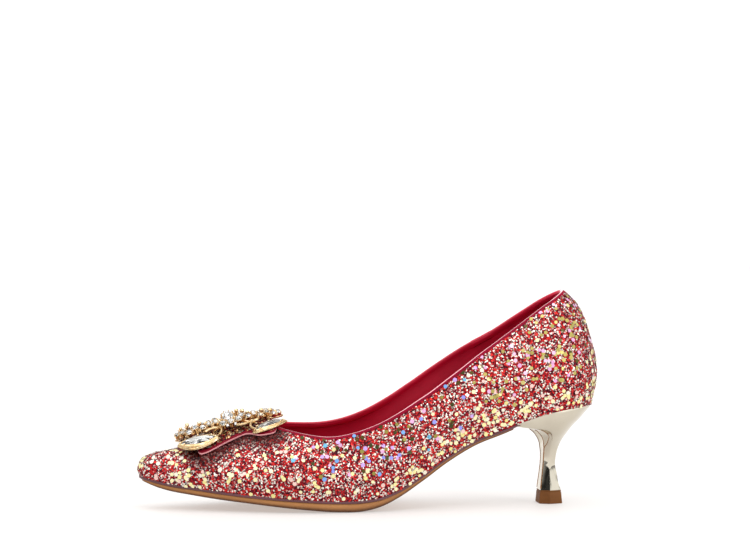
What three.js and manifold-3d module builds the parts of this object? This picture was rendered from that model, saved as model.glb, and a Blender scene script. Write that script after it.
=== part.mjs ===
// Wedding pump for the left foot: pointed toe, kitten heel, glitter upper, crystal bow on the vamp.
// Millimetres, +Z up. The toe points to -X, the outer (lateral) side faces -Y, the inner (medial) side +Y.
// The origin lies on the floor under the ball of the foot, in the middle of the forefoot's flat spot.
import * as THREE from "three";
import { mergeVertices } from "three/addons/utils/BufferGeometryUtils.js";
import Module from "manifold-3d";

const wasm = await Module();
wasm.setup();

// Driving dimensions
const LENGTH = 249.7; // toe tip to the fullest point of the counter
const BALL_AT = 0.4365; // the ball's place, as a share of LENGTH from the toe tip
const BALL_WIDTH = 72; // the sole across the ball
const TOE_SPRING = 11.8; // rise of the feather line from the ball to the toe tip
const HEEL_RISE = 48; // rise of the feather line from the ball to the back of the seat
const INSTEP = 60; // height of the last over the feather line at the instep
const COUNTER_HEIGHT = 62; // topline over the feather line at the back
const UPPER_WALL = 1.8;
const BINDING_WIDTH = 2.2;
const BINDING_PROUD = 0.15;
const INSOLE_THICKNESS = 2.2;
const MIDSOLE_THICKNESS = 1.1;
const OUTSOLE_THICKNESS = 4.6; // at the ball
const CLEARANCE = 0.3; // between pieces that are glued or seated on each other

const HEEL_BREAST = 0.36766 * LENGTH; // the heel's front edge, from the ball
const HEEL_SEAT = 0.1842 * LENGTH; // length of the heel from its front edge to its back, at the top
const HEEL_SEAT_WIDTH = 0.69444 * BALL_WIDTH;
const HEEL_HEIGHT = 54;
const TOP_PIECE_HEIGHT = 7;
const BOW_AT = -0.2283 * LENGTH; // the bow's middle, from the ball
const BOW_LENGTH = 0.1682 * LENGTH; // along the shoe
const BOW_WIDTH = 40; // across it
const BOW_SHEET = 1.2;
const BOW_LIFT = 0.5; // the bow's underside over the vamp
const BROOCH_AT = -0.2403 * LENGTH;
const BROOCH_LENGTH = 0.2243 * LENGTH;
const BROOCH_WIDTH = 36;
const BROOCH_PLATE = 1;
const BROOCH_RIM = 2.1;
const BROOCH_LEAN = 0.06; // rise of the brooch towards the medial side

const BALL_STACK = OUTSOLE_THICKNESS + MIDSOLE_THICKNESS + 2 * CLEARANCE;
const LATERAL = -1;
const MEDIAL = 1;

const COLOURS = {
  glitter: 0xb0414b,
  redLeather: 0xa5122f,
  mauve: 0x6d3f4a,
  tan: 0xb5804d,
  gold: 0xd9cfae,
  brown: 0x6b4128,
  brooch: 0xe3b878,
  crystal: 0xf2f4f6,
};

// The feather line seen from the side: spring is a share of TOE_SPRING, rise a share of HEEL_RISE.
const FEATHER_LINE = [
  { at: 0.0, spring: 1.0, rise: 0 },
  { at: 0.025, spring: 0.87, rise: 0 },
  { at: 0.06, spring: 0.7, rise: 0 },
  { at: 0.12, spring: 0.53, rise: 0 },
  { at: 0.19, spring: 0.35, rise: 0 },
  { at: 0.27, spring: 0.185, rise: 0 },
  { at: 0.35, spring: 0.07, rise: 0 },
  { at: 0.42, spring: 0.005, rise: 0 },
  { at: 0.47, spring: 0, rise: 0.004 },
  { at: 0.51, spring: 0, rise: 0.034 },
  { at: 0.55, spring: 0, rise: 0.109 },
  { at: 0.6, spring: 0, rise: 0.26 },
  { at: 0.66, spring: 0, rise: 0.468 },
  { at: 0.72, spring: 0, rise: 0.638 },
  { at: 0.78, spring: 0, rise: 0.748 },
  { at: 0.83, spring: 0, rise: 0.844 },
  { at: 0.88, spring: 0, rise: 0.925 },
  { at: 0.94, spring: 0, rise: 0.981 },
  { at: 1.0, spring: 0, rise: 1.0 },
];

// Sections across the last. crown: height of its top over the feather line, a share of INSTEP.
// feather, bulge, shoulder, rim: half widths on the lateral (L) and medial (M) side, shares of BALL_WIDTH.
// bulgeUp, shoulderUp, rimUp: heights over the feather line, shares of the crown.
const SECTIONS = [
  { at: 0.045, crown: 0.247, featherL: 0.152, featherM: 0.152, bulgeL: 0.174, bulgeM: 0.174, bulgeUp: 0.36,
    shoulderL: 0.136, shoulderM: 0.136, shoulderUp: 0.74, rimL: 0.072, rimM: 0.072, rimUp: 0.94 },
  { at: 0.1, crown: 0.333, featherL: 0.229, featherM: 0.225, bulgeL: 0.254, bulgeM: 0.25, bulgeUp: 0.34,
    shoulderL: 0.2, shoulderM: 0.195, shoulderUp: 0.72, rimL: 0.108, rimM: 0.105, rimUp: 0.93 },
  { at: 0.17, crown: 0.442, featherL: 0.333, featherM: 0.333, bulgeL: 0.365, bulgeM: 0.365, bulgeUp: 0.31,
    shoulderL: 0.281, shoulderM: 0.279, shoulderUp: 0.7, rimL: 0.153, rimM: 0.15, rimUp: 0.92 },
  { at: 0.25, crown: 0.58, featherL: 0.431, featherM: 0.438, bulgeL: 0.467, bulgeM: 0.472, bulgeUp: 0.28,
    shoulderL: 0.35, shoulderM: 0.342, shoulderUp: 0.7, rimL: 0.19, rimM: 0.183, rimUp: 0.92 },
  { at: 0.33, crown: 0.708, featherL: 0.493, featherM: 0.486, bulgeL: 0.532, bulgeM: 0.522, bulgeUp: 0.25,
    shoulderL: 0.424, shoulderM: 0.403, shoulderUp: 0.66, rimL: 0.285, rimM: 0.264, rimUp: 0.87 },
  { at: 0.41, crown: 0.833, featherL: 0.521, featherM: 0.465, bulgeL: 0.556, bulgeM: 0.507, bulgeUp: 0.24,
    shoulderL: 0.504, shoulderM: 0.458, shoulderUp: 0.5, rimL: 0.438, rimM: 0.396, rimUp: 0.7 },
  { at: 0.49, crown: 0.967, featherL: 0.493, featherM: 0.396, bulgeL: 0.532, bulgeM: 0.456, bulgeUp: 0.23,
    shoulderL: 0.5, shoulderM: 0.435, shoulderUp: 0.48, rimL: 0.442, rimM: 0.397, rimUp: 0.67 },
  { at: 0.57, crown: 1.067, featherL: 0.431, featherM: 0.319, bulgeL: 0.481, bulgeM: 0.407, bulgeUp: 0.26,
    shoulderL: 0.461, shoulderM: 0.403, shoulderUp: 0.48, rimL: 0.417, rimM: 0.379, rimUp: 0.69 },
  { at: 0.65, crown: 1.067, featherL: 0.375, featherM: 0.282, bulgeL: 0.439, bulgeM: 0.375, bulgeUp: 0.28,
    shoulderL: 0.428, shoulderM: 0.378, shoulderUp: 0.5, rimL: 0.383, rimM: 0.356, rimUp: 0.71 },
  { at: 0.73, crown: 1.067, featherL: 0.35, featherM: 0.285, bulgeL: 0.414, bulgeM: 0.367, bulgeUp: 0.29,
    shoulderL: 0.4, shoulderM: 0.364, shoulderUp: 0.52, rimL: 0.347, rimM: 0.331, rimUp: 0.73 },
  { at: 0.81, crown: 1.1, featherL: 0.342, featherM: 0.308, bulgeL: 0.397, bulgeM: 0.375, bulgeUp: 0.28,
    shoulderL: 0.375, shoulderM: 0.361, shoulderUp: 0.54, rimL: 0.296, rimM: 0.289, rimUp: 0.79 },
  { at: 0.885, crown: 1.15, featherL: 0.344, featherM: 0.333, bulgeL: 0.389, bulgeM: 0.381, bulgeUp: 0.265,
    shoulderL: 0.35, shoulderM: 0.344, shoulderUp: 0.55, rimL: 0.236, rimM: 0.233, rimUp: 0.84 },
];

// The two ends, straight ahead of the first section and straight behind the last one.
// Radii are shares of LENGTH, measured from that section; heights are shares of its crown.
const TOE_END = { feather: 0.042, bulge: 0.045, shoulder: 0.037, rim: 0.02,
  bulgeUp: 0.277, shoulderUp: 0.574, rimUp: 0.736 };
const HEEL_END = { feather: 0.1025, bulge: 0.115, shoulder: 0.1015, rim: 0.066,
  bulgeUp: 0.242, shoulderUp: 0.518, rimUp: 0.815 };

// The topline seen from the side, from the throat to the back: shares of COUNTER_HEIGHT over the feather line.
const TOPLINE = [
  { at: 0.291, lateral: 0.78, medial: 0.78 },
  { at: 0.2918, lateral: 0.645, medial: 0.645 },
  { at: 0.294, lateral: 0.604, medial: 0.611 },
  { at: 0.3, lateral: 0.586, medial: 0.6 },
  { at: 0.312, lateral: 0.576, medial: 0.594 },
  { at: 0.335, lateral: 0.561, medial: 0.591 },
  { at: 0.365, lateral: 0.547, medial: 0.591 },
  { at: 0.395, lateral: 0.543, medial: 0.595 },
  { at: 0.425, lateral: 0.557, medial: 0.609 },
  { at: 0.46, lateral: 0.59, medial: 0.64 },
  { at: 0.5, lateral: 0.63, medial: 0.684 },
  { at: 0.54, lateral: 0.664, medial: 0.718 },
  { at: 0.58, lateral: 0.679, medial: 0.734 },
  { at: 0.62, lateral: 0.679, medial: 0.741 },
  { at: 0.66, lateral: 0.689, medial: 0.746 },
  { at: 0.7, lateral: 0.714, medial: 0.761 },
  { at: 0.74, lateral: 0.758, medial: 0.785 },
  { at: 0.78, lateral: 0.814, medial: 0.819 },
  { at: 0.82, lateral: 0.866, medial: 0.866 },
  { at: 0.86, lateral: 0.924, medial: 0.92 },
  { at: 0.9, lateral: 0.985, medial: 0.984 },
  { at: 0.925, lateral: 1.027, medial: 1.027 },
  { at: 0.96, lateral: 1.068, medial: 1.068 },
  { at: 1.06, lateral: 1.096, medial: 1.096 },
];

// The outsole: thick is a share of OUTSOLE_THICKNESS, tuck the edge's inset, a share of BALL_WIDTH.
const OUTSOLE_LINE = [
  { at: 0.0, thick: 0.2, tuck: 0.02 },
  { at: 0.035, thick: 0.44, tuck: 0.014 },
  { at: 0.1, thick: 0.62, tuck: 0.012 },
  { at: 0.25, thick: 0.72, tuck: 0.012 },
  { at: 0.34, thick: 0.9, tuck: 0.012 },
  { at: 0.42, thick: 1.02, tuck: 0.012 },
  { at: 0.47, thick: 1.02, tuck: 0.014 },
  { at: 0.51, thick: 0.86, tuck: 0.018 },
  { at: 0.56, thick: 0.6, tuck: 0.024 },
  { at: 0.65, thick: 0.46, tuck: 0.036 },
  { at: 0.73, thick: 0.38, tuck: 0.05 },
  { at: 0.82, thick: 0.26, tuck: 0.07 },
];

// The heel at a height: up is a share of HEEL_HEIGHT; front, ridge and rear are shares of HEEL_SEAT from the
// heel's front edge; halfFront, halfRidge and halfRear are shares of HEEL_SEAT_WIDTH; hollow, the front face's
// dip, and bevel, the cut along its edges, are shares of HEEL_SEAT.
// facet is 1 where the section is a hexagon and 0 where it is round at the back.
const HEEL_LEVELS = [
  { up: 0.136, front: 0.375, ridge: 0.482, rear: 0.626, halfFront: 0.11, halfRidge: 0.157, halfRear: 0.106,
    hollow: 0, bevel: 0, facet: 1 },
  { up: 0.2, front: 0.383, ridge: 0.482, rear: 0.608, halfFront: 0.1, halfRidge: 0.147, halfRear: 0.094,
    hollow: 0, bevel: 0, facet: 1 },
  { up: 0.29, front: 0.396, ridge: 0.482, rear: 0.587, halfFront: 0.091, halfRidge: 0.136, halfRear: 0.08,
    hollow: 0, bevel: 0, facet: 1 },
  { up: 0.39, front: 0.409, ridge: 0.482, rear: 0.561, halfFront: 0.086, halfRidge: 0.13, halfRear: 0.07,
    hollow: 0, bevel: 0, facet: 1 },
  { up: 0.48, front: 0.415, ridge: 0.483, rear: 0.568, halfFront: 0.088, halfRidge: 0.134, halfRear: 0.074,
    hollow: 0, bevel: 0, facet: 1 },
  { up: 0.55, front: 0.413, ridge: 0.486, rear: 0.587, halfFront: 0.115, halfRidge: 0.162, halfRear: 0.09,
    hollow: 0.006, bevel: 0, facet: 0.75 },
  { up: 0.64, front: 0.396, ridge: 0.485, rear: 0.638, halfFront: 0.2, halfRidge: 0.245, halfRear: 0.12,
    hollow: 0.03, bevel: 0.05, facet: 0.3 },
  { up: 0.715, front: 0.335, ridge: 0.47, rear: 0.705, halfFront: 0.31, halfRidge: 0.335, halfRear: 0.15,
    hollow: 0.06, bevel: 0.085, facet: 0 },
  { up: 0.77, front: 0.23, ridge: 0.455, rear: 0.755, halfFront: 0.395, halfRidge: 0.395, halfRear: 0.2,
    hollow: 0.05, bevel: 0.055, facet: 0 },
  { up: 0.807, front: 0.02, ridge: 0.45, rear: 0.795, halfFront: 0.45, halfRidge: 0.425, halfRear: 0.2,
    hollow: 0.0, bevel: 0.008, facet: 0 },
  { up: 0.85, front: 0, ridge: 0.445, rear: 0.848, halfFront: 0.485, halfRidge: 0.455, halfRear: 0.2,
    hollow: 0, bevel: 0, facet: 0 },
  { up: 0.93, front: 0, ridge: 0.44, rear: 0.932, halfFront: 0.505, halfRidge: 0.49, halfRear: 0.2,
    hollow: 0, bevel: 0, facet: 0 },
  { up: 0.97, front: 0, ridge: 0.44, rear: 0.975, halfFront: 0.51, halfRidge: 0.505, halfRear: 0.2,
    hollow: 0, bevel: 0, facet: 0 },
  { up: 1.04, front: 0, ridge: 0.44, rear: 1.04, halfFront: 0.52, halfRidge: 0.52, halfRear: 0.2,
    hollow: 0, bevel: 0, facet: 0 },
];

// The bow's outline on one side: along and across are shares of BOW_LENGTH and of half BOW_WIDTH.
const BOW_OUTLINE = [
  { along: -0.44, across: 0 },
  { along: -0.48, across: 0.4 },
  { along: -0.485, across: 0.74 },
  { along: -0.4, across: 0.83 },
  { along: -0.28, across: 0.8 },
  { along: -0.15, across: 0.73 },
  { along: 0.0, across: 0.66 },
  { along: 0.1, across: 0.64 },
  { along: 0.19, across: 0.74 },
  { along: 0.27, across: 0.9 },
  { along: 0.37, across: 0.98 },
  { along: 0.48, across: 1.0 },
  { along: 0.5, across: 0.7 },
  { along: 0.47, across: 0.35 },
  { along: 0.45, across: 0 },
];

// The bow's two padded loops: up is in shares of BOW_SHEET.
const BOW_LOOPS = [
  { along: -0.22, length: 0.3, across: 0.5, up: 2.1 },
  { along: 0.24, length: 0.24, across: 0.6, up: 1.0 },
];

// The brooch's underside: lift is its height over the vamp's middle line, in shares of BOW_SHEET; bend is its
// radius across the foot, a share of BROOCH_WIDTH. at runs from the brooch's middle, in shares of BROOCH_LENGTH.
const BROOCH_LINE = [
  { at: -0.55, lift: 4.05, bend: 0.37 },
  { at: -0.36, lift: 4.72, bend: 0.41 },
  { at: -0.18, lift: 5.26, bend: 0.47 },
  { at: 0, lift: 5.12, bend: 0.56 },
  { at: 0.18, lift: 4.2, bend: 0.8 },
  { at: 0.36, lift: 2.7, bend: 1.15 },
  { at: 0.52, lift: 1.15, bend: 1.3 },
];

// The four long crystals, one side's two: middle, half length and half width as shares of BROOCH_LENGTH.
const NAVETTES = [
  { name: "front", along: -0.305, across: 0.195, long: 0.172, wide: 0.056, turn: 0.2 },
  { name: "rear", along: 0.365, across: 0.235, long: 0.14, wide: 0.062, turn: -0.3 },
];

// Small round stones in cups, one side's: along and across from the brooch's middle, in shares of BROOCH_LENGTH;
// up is the cup's height, a share of BROOCH_RIM.
const STONES = [
  { along: -0.13, across: 0.055, up: 2.5 },
  { along: -0.182, across: 0.062, up: 2.2 },
  { along: -0.234, across: 0.062, up: 2.1 },
  { along: -0.286, across: 0.058, up: 2.4 },
  { along: -0.338, across: 0.055, up: 2.4 },
  { along: -0.39, across: 0.058, up: 2.3 },
  { along: -0.442, across: 0.068, up: 1.7 },
  { along: -0.484, across: 0.028, up: 1.3 },
  { along: 0.15, across: 0.055, up: 2.3 },
  { along: 0.2, across: 0.078, up: 1.8 },
  { along: 0.25, across: 0.1, up: 1.3 },
  { along: 0.3, across: 0.105, up: 1 },
  { along: 0.35, across: 0.1, up: 1.1 },
  { along: 0.4, across: 0.092, up: 1.1 },
  { along: 0.45, across: 0.08, up: 1 },
  { along: 0.02, across: 0.12, up: 1.6 },
  { along: -0.05, across: 0.115, up: 1.5 },
  { along: 0.085, across: 0.105, up: 2.2 },
];
const STONE_CUP = 1.5;
const CENTRE_CUP = 4.3;
const CENTRE_STONE = 3.3;

// Interpolation

// The slope of a smooth curve at knot k: that of the parabola through the knot and its two neighbours.
function knotSlope(xs, ys, k) {
  const last = xs.length - 1;
  const rise = (i) => (ys[i + 1] - ys[i]) / (xs[i + 1] - xs[i]);
  if (k === 0) return rise(0);
  if (k === last) return rise(last - 1);
  const before = xs[k] - xs[k - 1];
  const after = xs[k + 1] - xs[k];
  return (rise(k - 1) * after + rise(k) * before) / (before + after);
}

// A smooth curve through the points (xs, ys), read at x.
function through(xs, ys, x) {
  let k = 0;
  while (k < xs.length - 2 && x > xs[k + 1]) k++;
  const span = xs[k + 1] - xs[k];
  const t = THREE.MathUtils.clamp((x - xs[k]) / span, 0, 1);
  const a = knotSlope(xs, ys, k) * span;
  const b = knotSlope(xs, ys, k + 1) * span;
  const rise = ys[k + 1] - ys[k];
  return ys[k] + t * (a + t * (3 * rise - 2 * a - b + t * (a + b - 2 * rise)));
}

// The column `key` of a table, as a function of `at`.
function column(rows, key) {
  const xs = rows.map((row) => row.at);
  const ys = rows.map((row) => row[key]);
  return (at) => through(xs, ys, at);
}

// A smooth curve through points in space: an array of samples, with steps[i] of them on span i.
function smoothPath(points, steps) {
  const knots = [0];
  for (let i = 1; i < points.length; i++) knots.push(knots[i - 1] + Math.sqrt(points[i].distanceTo(points[i - 1])));
  const [xs, ys, zs] = ["x", "y", "z"].map((key) => points.map((p) => p[key]));
  const samples = [];
  for (let i = 0; i < points.length - 1; i++) {
    for (let s = 0; s < steps[i]; s++) {
      const u = knots[i] + ((knots[i + 1] - knots[i]) * s) / steps[i];
      samples.push(new THREE.Vector3(through(knots, xs, u), through(knots, ys, u), through(knots, zs, u)));
    }
  }
  return samples;
}

const mix = THREE.MathUtils.lerp;
const xAt = (at) => LENGTH * (at - BALL_AT);
const atX = (x) => x / LENGTH + BALL_AT;

const springAt = column(FEATHER_LINE, "spring");
const riseAt = column(FEATHER_LINE, "rise");
const featherZ = (x) => BALL_STACK + springAt(atX(x)) * TOE_SPRING + riseAt(atX(x)) * HEEL_RISE;

// Solids

// A closed solid from triangles given as corners, three points each.
function solid(corners) {
  const geometry = new THREE.BufferGeometry();
  geometry.setAttribute("position", new THREE.Float32BufferAttribute(corners.flatMap((p) => p.toArray()), 3));
  return solidOf(geometry);
}

function solidOf(source) {
  const geometry = source.clone();
  geometry.deleteAttribute("normal");
  geometry.deleteAttribute("uv");
  const merged = mergeVertices(geometry, 1e-4);
  const index = merged.index.array;
  const kept = [];
  for (let i = 0; i < index.length; i += 3) {
    const [a, b, c] = [index[i], index[i + 1], index[i + 2]];
    if (a !== b && b !== c && c !== a) kept.push(a, b, c);
  }
  return new wasm.Manifold(
    new wasm.Mesh({
      numProp: 3,
      vertProperties: new Float32Array(merged.attributes.position.array),
      triVerts: new Uint32Array(kept),
    }),
  );
}

function geometryOf(manifold) {
  const mesh = manifold.getMesh();
  const geometry = new THREE.BufferGeometry();
  geometry.setAttribute("position", new THREE.BufferAttribute(new Float32Array(mesh.vertProperties), 3));
  geometry.setIndex(new THREE.BufferAttribute(new Uint32Array(mesh.triVerts), 1));
  geometry.computeVertexNormals();
  return geometry;
}

// The last

const PARTS = ["feather", "bulge", "shoulder", "rim"];
const SECTION_STEPS = [2, 2, 3, 3]; // facets from feather to bulge, shoulder, rim and crown
const TOE_AT = SECTIONS[0].at;
const HEEL_AT = SECTIONS[SECTIONS.length - 1].at;
const columns = Object.fromEntries(Object.keys(SECTIONS[0]).map((key) => [key, column(SECTIONS, key)]));

// The control points of the section across the last at `at`, on one side: half width r and height z.
function controls(at, side) {
  const letter = side === LATERAL ? "L" : "M";
  const base = featherZ(xAt(at));
  const crown = columns.crown(at) * INSTEP;
  return PARTS.map((part) => ({
    r: columns[part + letter](at) * BALL_WIDTH,
    z: base + (part === "feather" ? 0 : columns[part + "Up"](at) * crown),
    spread: (columns[part + letter](at + 0.004) - columns[part + letter](at - 0.004)) * BALL_WIDTH,
  }));
}

// One half section of the last. turn runs from 0, straight across the shoe, to 1, straight along it: there the
// section swings round the shoe's end on an ellipse that carries on the side's own slope.
function halfSection(at, side, turn, end, forward) {
  const x = xAt(at);
  const crownZ = columns.crown(at) * INSTEP;
  const points = controls(at, side).map((flank, i) => {
    if (turn === 0) return new THREE.Vector3(x, side * flank.r, flank.z);
    const part = PARTS[i];
    const tip = end[part] * LENGTH;
    const narrowing = Math.max((-forward * flank.spread) / (0.008 * LENGTH), 0);
    const back = (narrowing * tip * tip) / Math.max(flank.r - 2 * narrowing * tip, 0.15 * flank.r);
    const radius = back + tip;
    const start = Math.asin(back / radius);
    const angle = mix(start, Math.PI / 2, turn);
    const reach = radius * Math.sin(angle) - back;
    const across = (flank.r * Math.cos(angle)) / Math.cos(start);
    const share = (reach / tip) ** 2;
    if (part === "feather") return new THREE.Vector3(x + forward * reach, side * across, featherZ(x + forward * reach));
    const tipZ = featherZ(x + forward * end.feather * LENGTH) + end[part + "Up"] * crownZ;
    return new THREE.Vector3(x + forward * reach, side * across, mix(flank.z, tipZ, share));
  });
  const crown = new THREE.Vector3(x, 0, featherZ(x) + crownZ);
  const rim = points[points.length - 1];
  const beyond = new THREE.Vector3(2 * x - rim.x, -rim.y, rim.z);
  return [...smoothPath([...points, crown, beyond], [...SECTION_STEPS, 0]), crown];
}

const TOE_STEPS = 5;
const HEEL_STEPS = 7;
const MID_STEPS = 22;

// The stations of one side, from the toe tip to the back of the heel.
function stations(side) {
  const list = [];
  for (let i = 0; i < TOE_STEPS; i++) {
    list.push(halfSection(TOE_AT, side, 1 - i / TOE_STEPS, TOE_END, -1));
  }
  for (let i = 0; i <= MID_STEPS; i++) {
    list.push(halfSection(mix(TOE_AT, HEEL_AT, i / MID_STEPS), side, 0, null, 1));
  }
  for (let i = 1; i <= HEEL_STEPS; i++) {
    list.push(halfSection(HEEL_AT, side, i / HEEL_STEPS, HEEL_END, 1));
  }
  return list;
}

const STATION_COUNT = TOE_STEPS + MID_STEPS + HEEL_STEPS;
const lateralStations = stations(LATERAL);
const medialStations = stations(MEDIAL);

// The last's surface as a ring of half sections: out along the lateral side, back along the medial side.
const RING = [...lateralStations, ...medialStations.slice(1, -1).reverse()];
const RING_COUNT = RING.length;
const partner = (i) => (RING_COUNT - i) % RING_COUNT;
const ringAt = (i) => RING[(i + RING_COUNT) % RING_COUNT];
const ROWS = RING[0].length;

// The outward normal of the last at ring place i, row j.
function lastNormal(i, j) {
  const along = new THREE.Vector3().subVectors(ringAt(i + 1)[j], ringAt(i - 1)[j]);
  const above = j + 1 < ROWS ? ringAt(i)[j + 1] : ringAt(partner(i))[j - 1];
  const up = new THREE.Vector3().subVectors(above, ringAt(i)[Math.max(j - 1, 0)]);
  const normal = along.cross(up);
  if (normal.length() < 1e-6) return new THREE.Vector3(0, 0, 1);
  return normal.normalize();
}

// A closed body bounded by the last moved inwards by `inset`; its bottom lies `drop` below the feather line.
function lastBody(inset, drop) {
  const grid = RING.map((section, i) => {
    const moved = section.map((p, j) => p.clone().addScaledVector(lastNormal(i, j), -inset));
    return [moved[0].clone().setZ(moved[0].z - drop), ...moved];
  });
  const ridge = grid.map((section, i) => {
    const twin = grid[partner(i)];
    return section[ROWS].clone().add(twin[ROWS]).multiplyScalar(0.5);
  });
  grid.forEach((section, i) => (section[ROWS] = ridge[i]));
  const corners = [];
  const quad = (a, b, c, d) => corners.push(a, b, c, a, c, d);
  for (let i = 0; i < RING_COUNT; i++) {
    const here = grid[i];
    const next = grid[(i + 1) % RING_COUNT];
    for (let j = 0; j < ROWS; j++) quad(here[j], next[j], next[j + 1], here[j + 1]);
  }
  for (let i = 0; i < STATION_COUNT; i++) {
    quad(grid[i][0], grid[partner(i)][0], grid[partner(i + 1)][0], grid[i + 1][0]);
  }
  return solid(corners);
}


// A body between a lower and an upper height on a grid: rows over y, each a list of {x, y, low, high} over x.
function curtain(rows) {
  const corners = [];
  const quad = (a, b, c, d) => corners.push(a, b, c, a, c, d);
  const low = (p) => new THREE.Vector3(p.x, p.y, p.low);
  const high = (p) => new THREE.Vector3(p.x, p.y, p.high);
  const last = rows[0].length - 1;
  for (let r = 0; r < rows.length - 1; r++) {
    for (let i = 0; i < last; i++) {
      const [a, b, c, d] = [rows[r][i], rows[r][i + 1], rows[r + 1][i + 1], rows[r + 1][i]];
      quad(low(a), low(d), low(c), low(b));
      quad(high(a), high(b), high(c), high(d));
    }
    quad(low(rows[r][0]), high(rows[r][0]), high(rows[r + 1][0]), low(rows[r + 1][0]));
    quad(low(rows[r][last]), low(rows[r + 1][last]), high(rows[r + 1][last]), high(rows[r][last]));
  }
  const [near, far] = [rows[0], rows[rows.length - 1]];
  for (let i = 0; i < last; i++) {
    quad(low(near[i]), low(near[i + 1]), high(near[i + 1]), high(near[i]));
    quad(low(far[i]), high(far[i]), high(far[i + 1]), low(far[i + 1]));
  }
  return solid(corners);
}

const REACH = BALL_WIDTH; // half width of the bodies that cut across the shoe
const SKY = HEEL_RISE + 3 * COUNTER_HEIGHT; // a height over the whole shoe
const TOPLINE_BLEND = 16; // from here out, each side has its own topline

// The space between two heights over the feather line.
function slab(low, high) {
  const row = (y) => {
    const points = [];
    for (let i = 0; i <= 44; i++) {
      const x = mix(xAt(-0.04), xAt(1.04), i / 44);
      points.push({ x, y, low: featherZ(x) + low, high: featherZ(x) + high });
    }
    return points;
  };
  return curtain([row(-REACH), row(REACH)]);
}

// The foot's opening: the space above the topline, grown by `grow` all along its edge.
function opening(grow) {
  const lateralHeight = column(TOPLINE, "lateral");
  const medialHeight = column(TOPLINE, "medial");
  const places = [];
  TOPLINE.slice(0, -1).forEach((row, k) => {
    for (let s = 0; s < 2; s++) places.push(mix(row.at, TOPLINE[k + 1].at, s / 2));
  });
  places.push(TOPLINE[TOPLINE.length - 1].at);
  const edge = (height) =>
    places.map((at) => new THREE.Vector2(xAt(at), featherZ(xAt(at)) + height(at) * COUNTER_HEIGHT));
  const middle = edge((at) => (lateralHeight(at) + medialHeight(at)) / 2);
  const row = (line, y) =>
    line.map((p, i) => {
      const [before, after] = [middle[Math.max(i - 1, 0)], middle[Math.min(i + 1, middle.length - 1)]];
      const run = after.clone().sub(before).normalize();
      return { x: p.x + run.y * grow, y, low: p.y - run.x * grow, high: SKY };
    });
  const lateral = edge(lateralHeight);
  const medial = edge(medialHeight);
  return curtain([
    row(lateral, -REACH), row(lateral, -TOPLINE_BLEND), row(medial, TOPLINE_BLEND), row(medial, REACH),
  ]);
}

// Bottom pieces

// The outline of the last's sole at ring place i, moved outwards by `out`.
function soleEdge(i, out) {
  const along = new THREE.Vector3().subVectors(ringAt(i + 1)[0], ringAt(i - 1)[0]);
  const outward = new THREE.Vector3(along.y, -along.x, 0).normalize();
  return RING[i][0].clone().addScaledVector(outward, out);
}

// A closed body from outlines stacked from the top down; each is a function of the ring place.
function stack(levels) {
  const loops = levels.map((level) => RING.map((_, i) => level(i)));
  const corners = [];
  const quad = (a, b, c, d) => corners.push(a, b, c, a, c, d);
  const bottom = loops[loops.length - 1];
  for (let i = 0; i < RING_COUNT; i++) {
    const j = (i + 1) % RING_COUNT;
    for (let k = 0; k < loops.length - 1; k++) {
      quad(loops[k][i], loops[k + 1][i], loops[k + 1][j], loops[k][j]);
    }
  }
  for (let i = 0; i < STATION_COUNT; i++) {
    const [a, b] = [i, i + 1];
    const [c, d] = [partner(i + 1), partner(i)];
    quad(loops[0][a], loops[0][b], loops[0][c], loops[0][d]);
    quad(bottom[a], bottom[d], bottom[c], bottom[b]);
  }
  return solid(corners);
}

const MIDSOLE_TOP = -CLEARANCE;
const MIDSOLE_BOTTOM = MIDSOLE_TOP - MIDSOLE_THICKNESS;
const SOLE_TOP = MIDSOLE_BOTTOM - CLEARANCE;

// How far the midsole's edge stands out from the last: round the forefoot it shows, in the heel it is sunk.
const randOut = (at) => (at > HEEL_BREAST / LENGTH + BALL_AT ? -2.2 : 0.1);

// A plate under the whole foot, between two heights over the feather line.
function plate(out, high, low) {
  const level = (up) => (i) => {
    const p = soleEdge(i, out(atX(RING[i][0].x)));
    return p.setZ(featherZ(p.x) + up);
  };
  return stack([level(high), level(low)]);
}

const outsoleThick = column(OUTSOLE_LINE, "thick");
const outsoleTuck = column(OUTSOLE_LINE, "tuck");
const BEVEL = 0.3; // the outsole's bevelled lower edge, a share of its thickness

function outsoleBody() {
  const level = (down, inset) => (i) => {
    const at = Math.min(atX(RING[i][0].x), 0.82);
    const thick = outsoleThick(at) * OUTSOLE_THICKNESS;
    const p = soleEdge(i, -outsoleTuck(at) * BALL_WIDTH - inset * thick);
    const top = featherZ(p.x) + SOLE_TOP;
    return p.setZ(Math.max(top - down * thick, (down - 1) * -thick, 0));
  };
  const front = wasm.Manifold.cube([2 * LENGTH, 2 * REACH, SKY], true).translate([
    HEEL_BREAST - CLEARANCE - LENGTH, 0, 0,
  ]);
  return stack([level(0, 0), level(1 - BEVEL, 0), level(1, BEVEL * 1.6)]).intersect(front);
}

// The heel

const heelColumns = {};
for (const key of Object.keys(HEEL_LEVELS[0])) {
  const ups = HEEL_LEVELS.map((row) => row.up);
  const values = HEEL_LEVELS.map((row) => row[key]);
  heelColumns[key] = (up) => through(ups, values, up);
}

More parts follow.
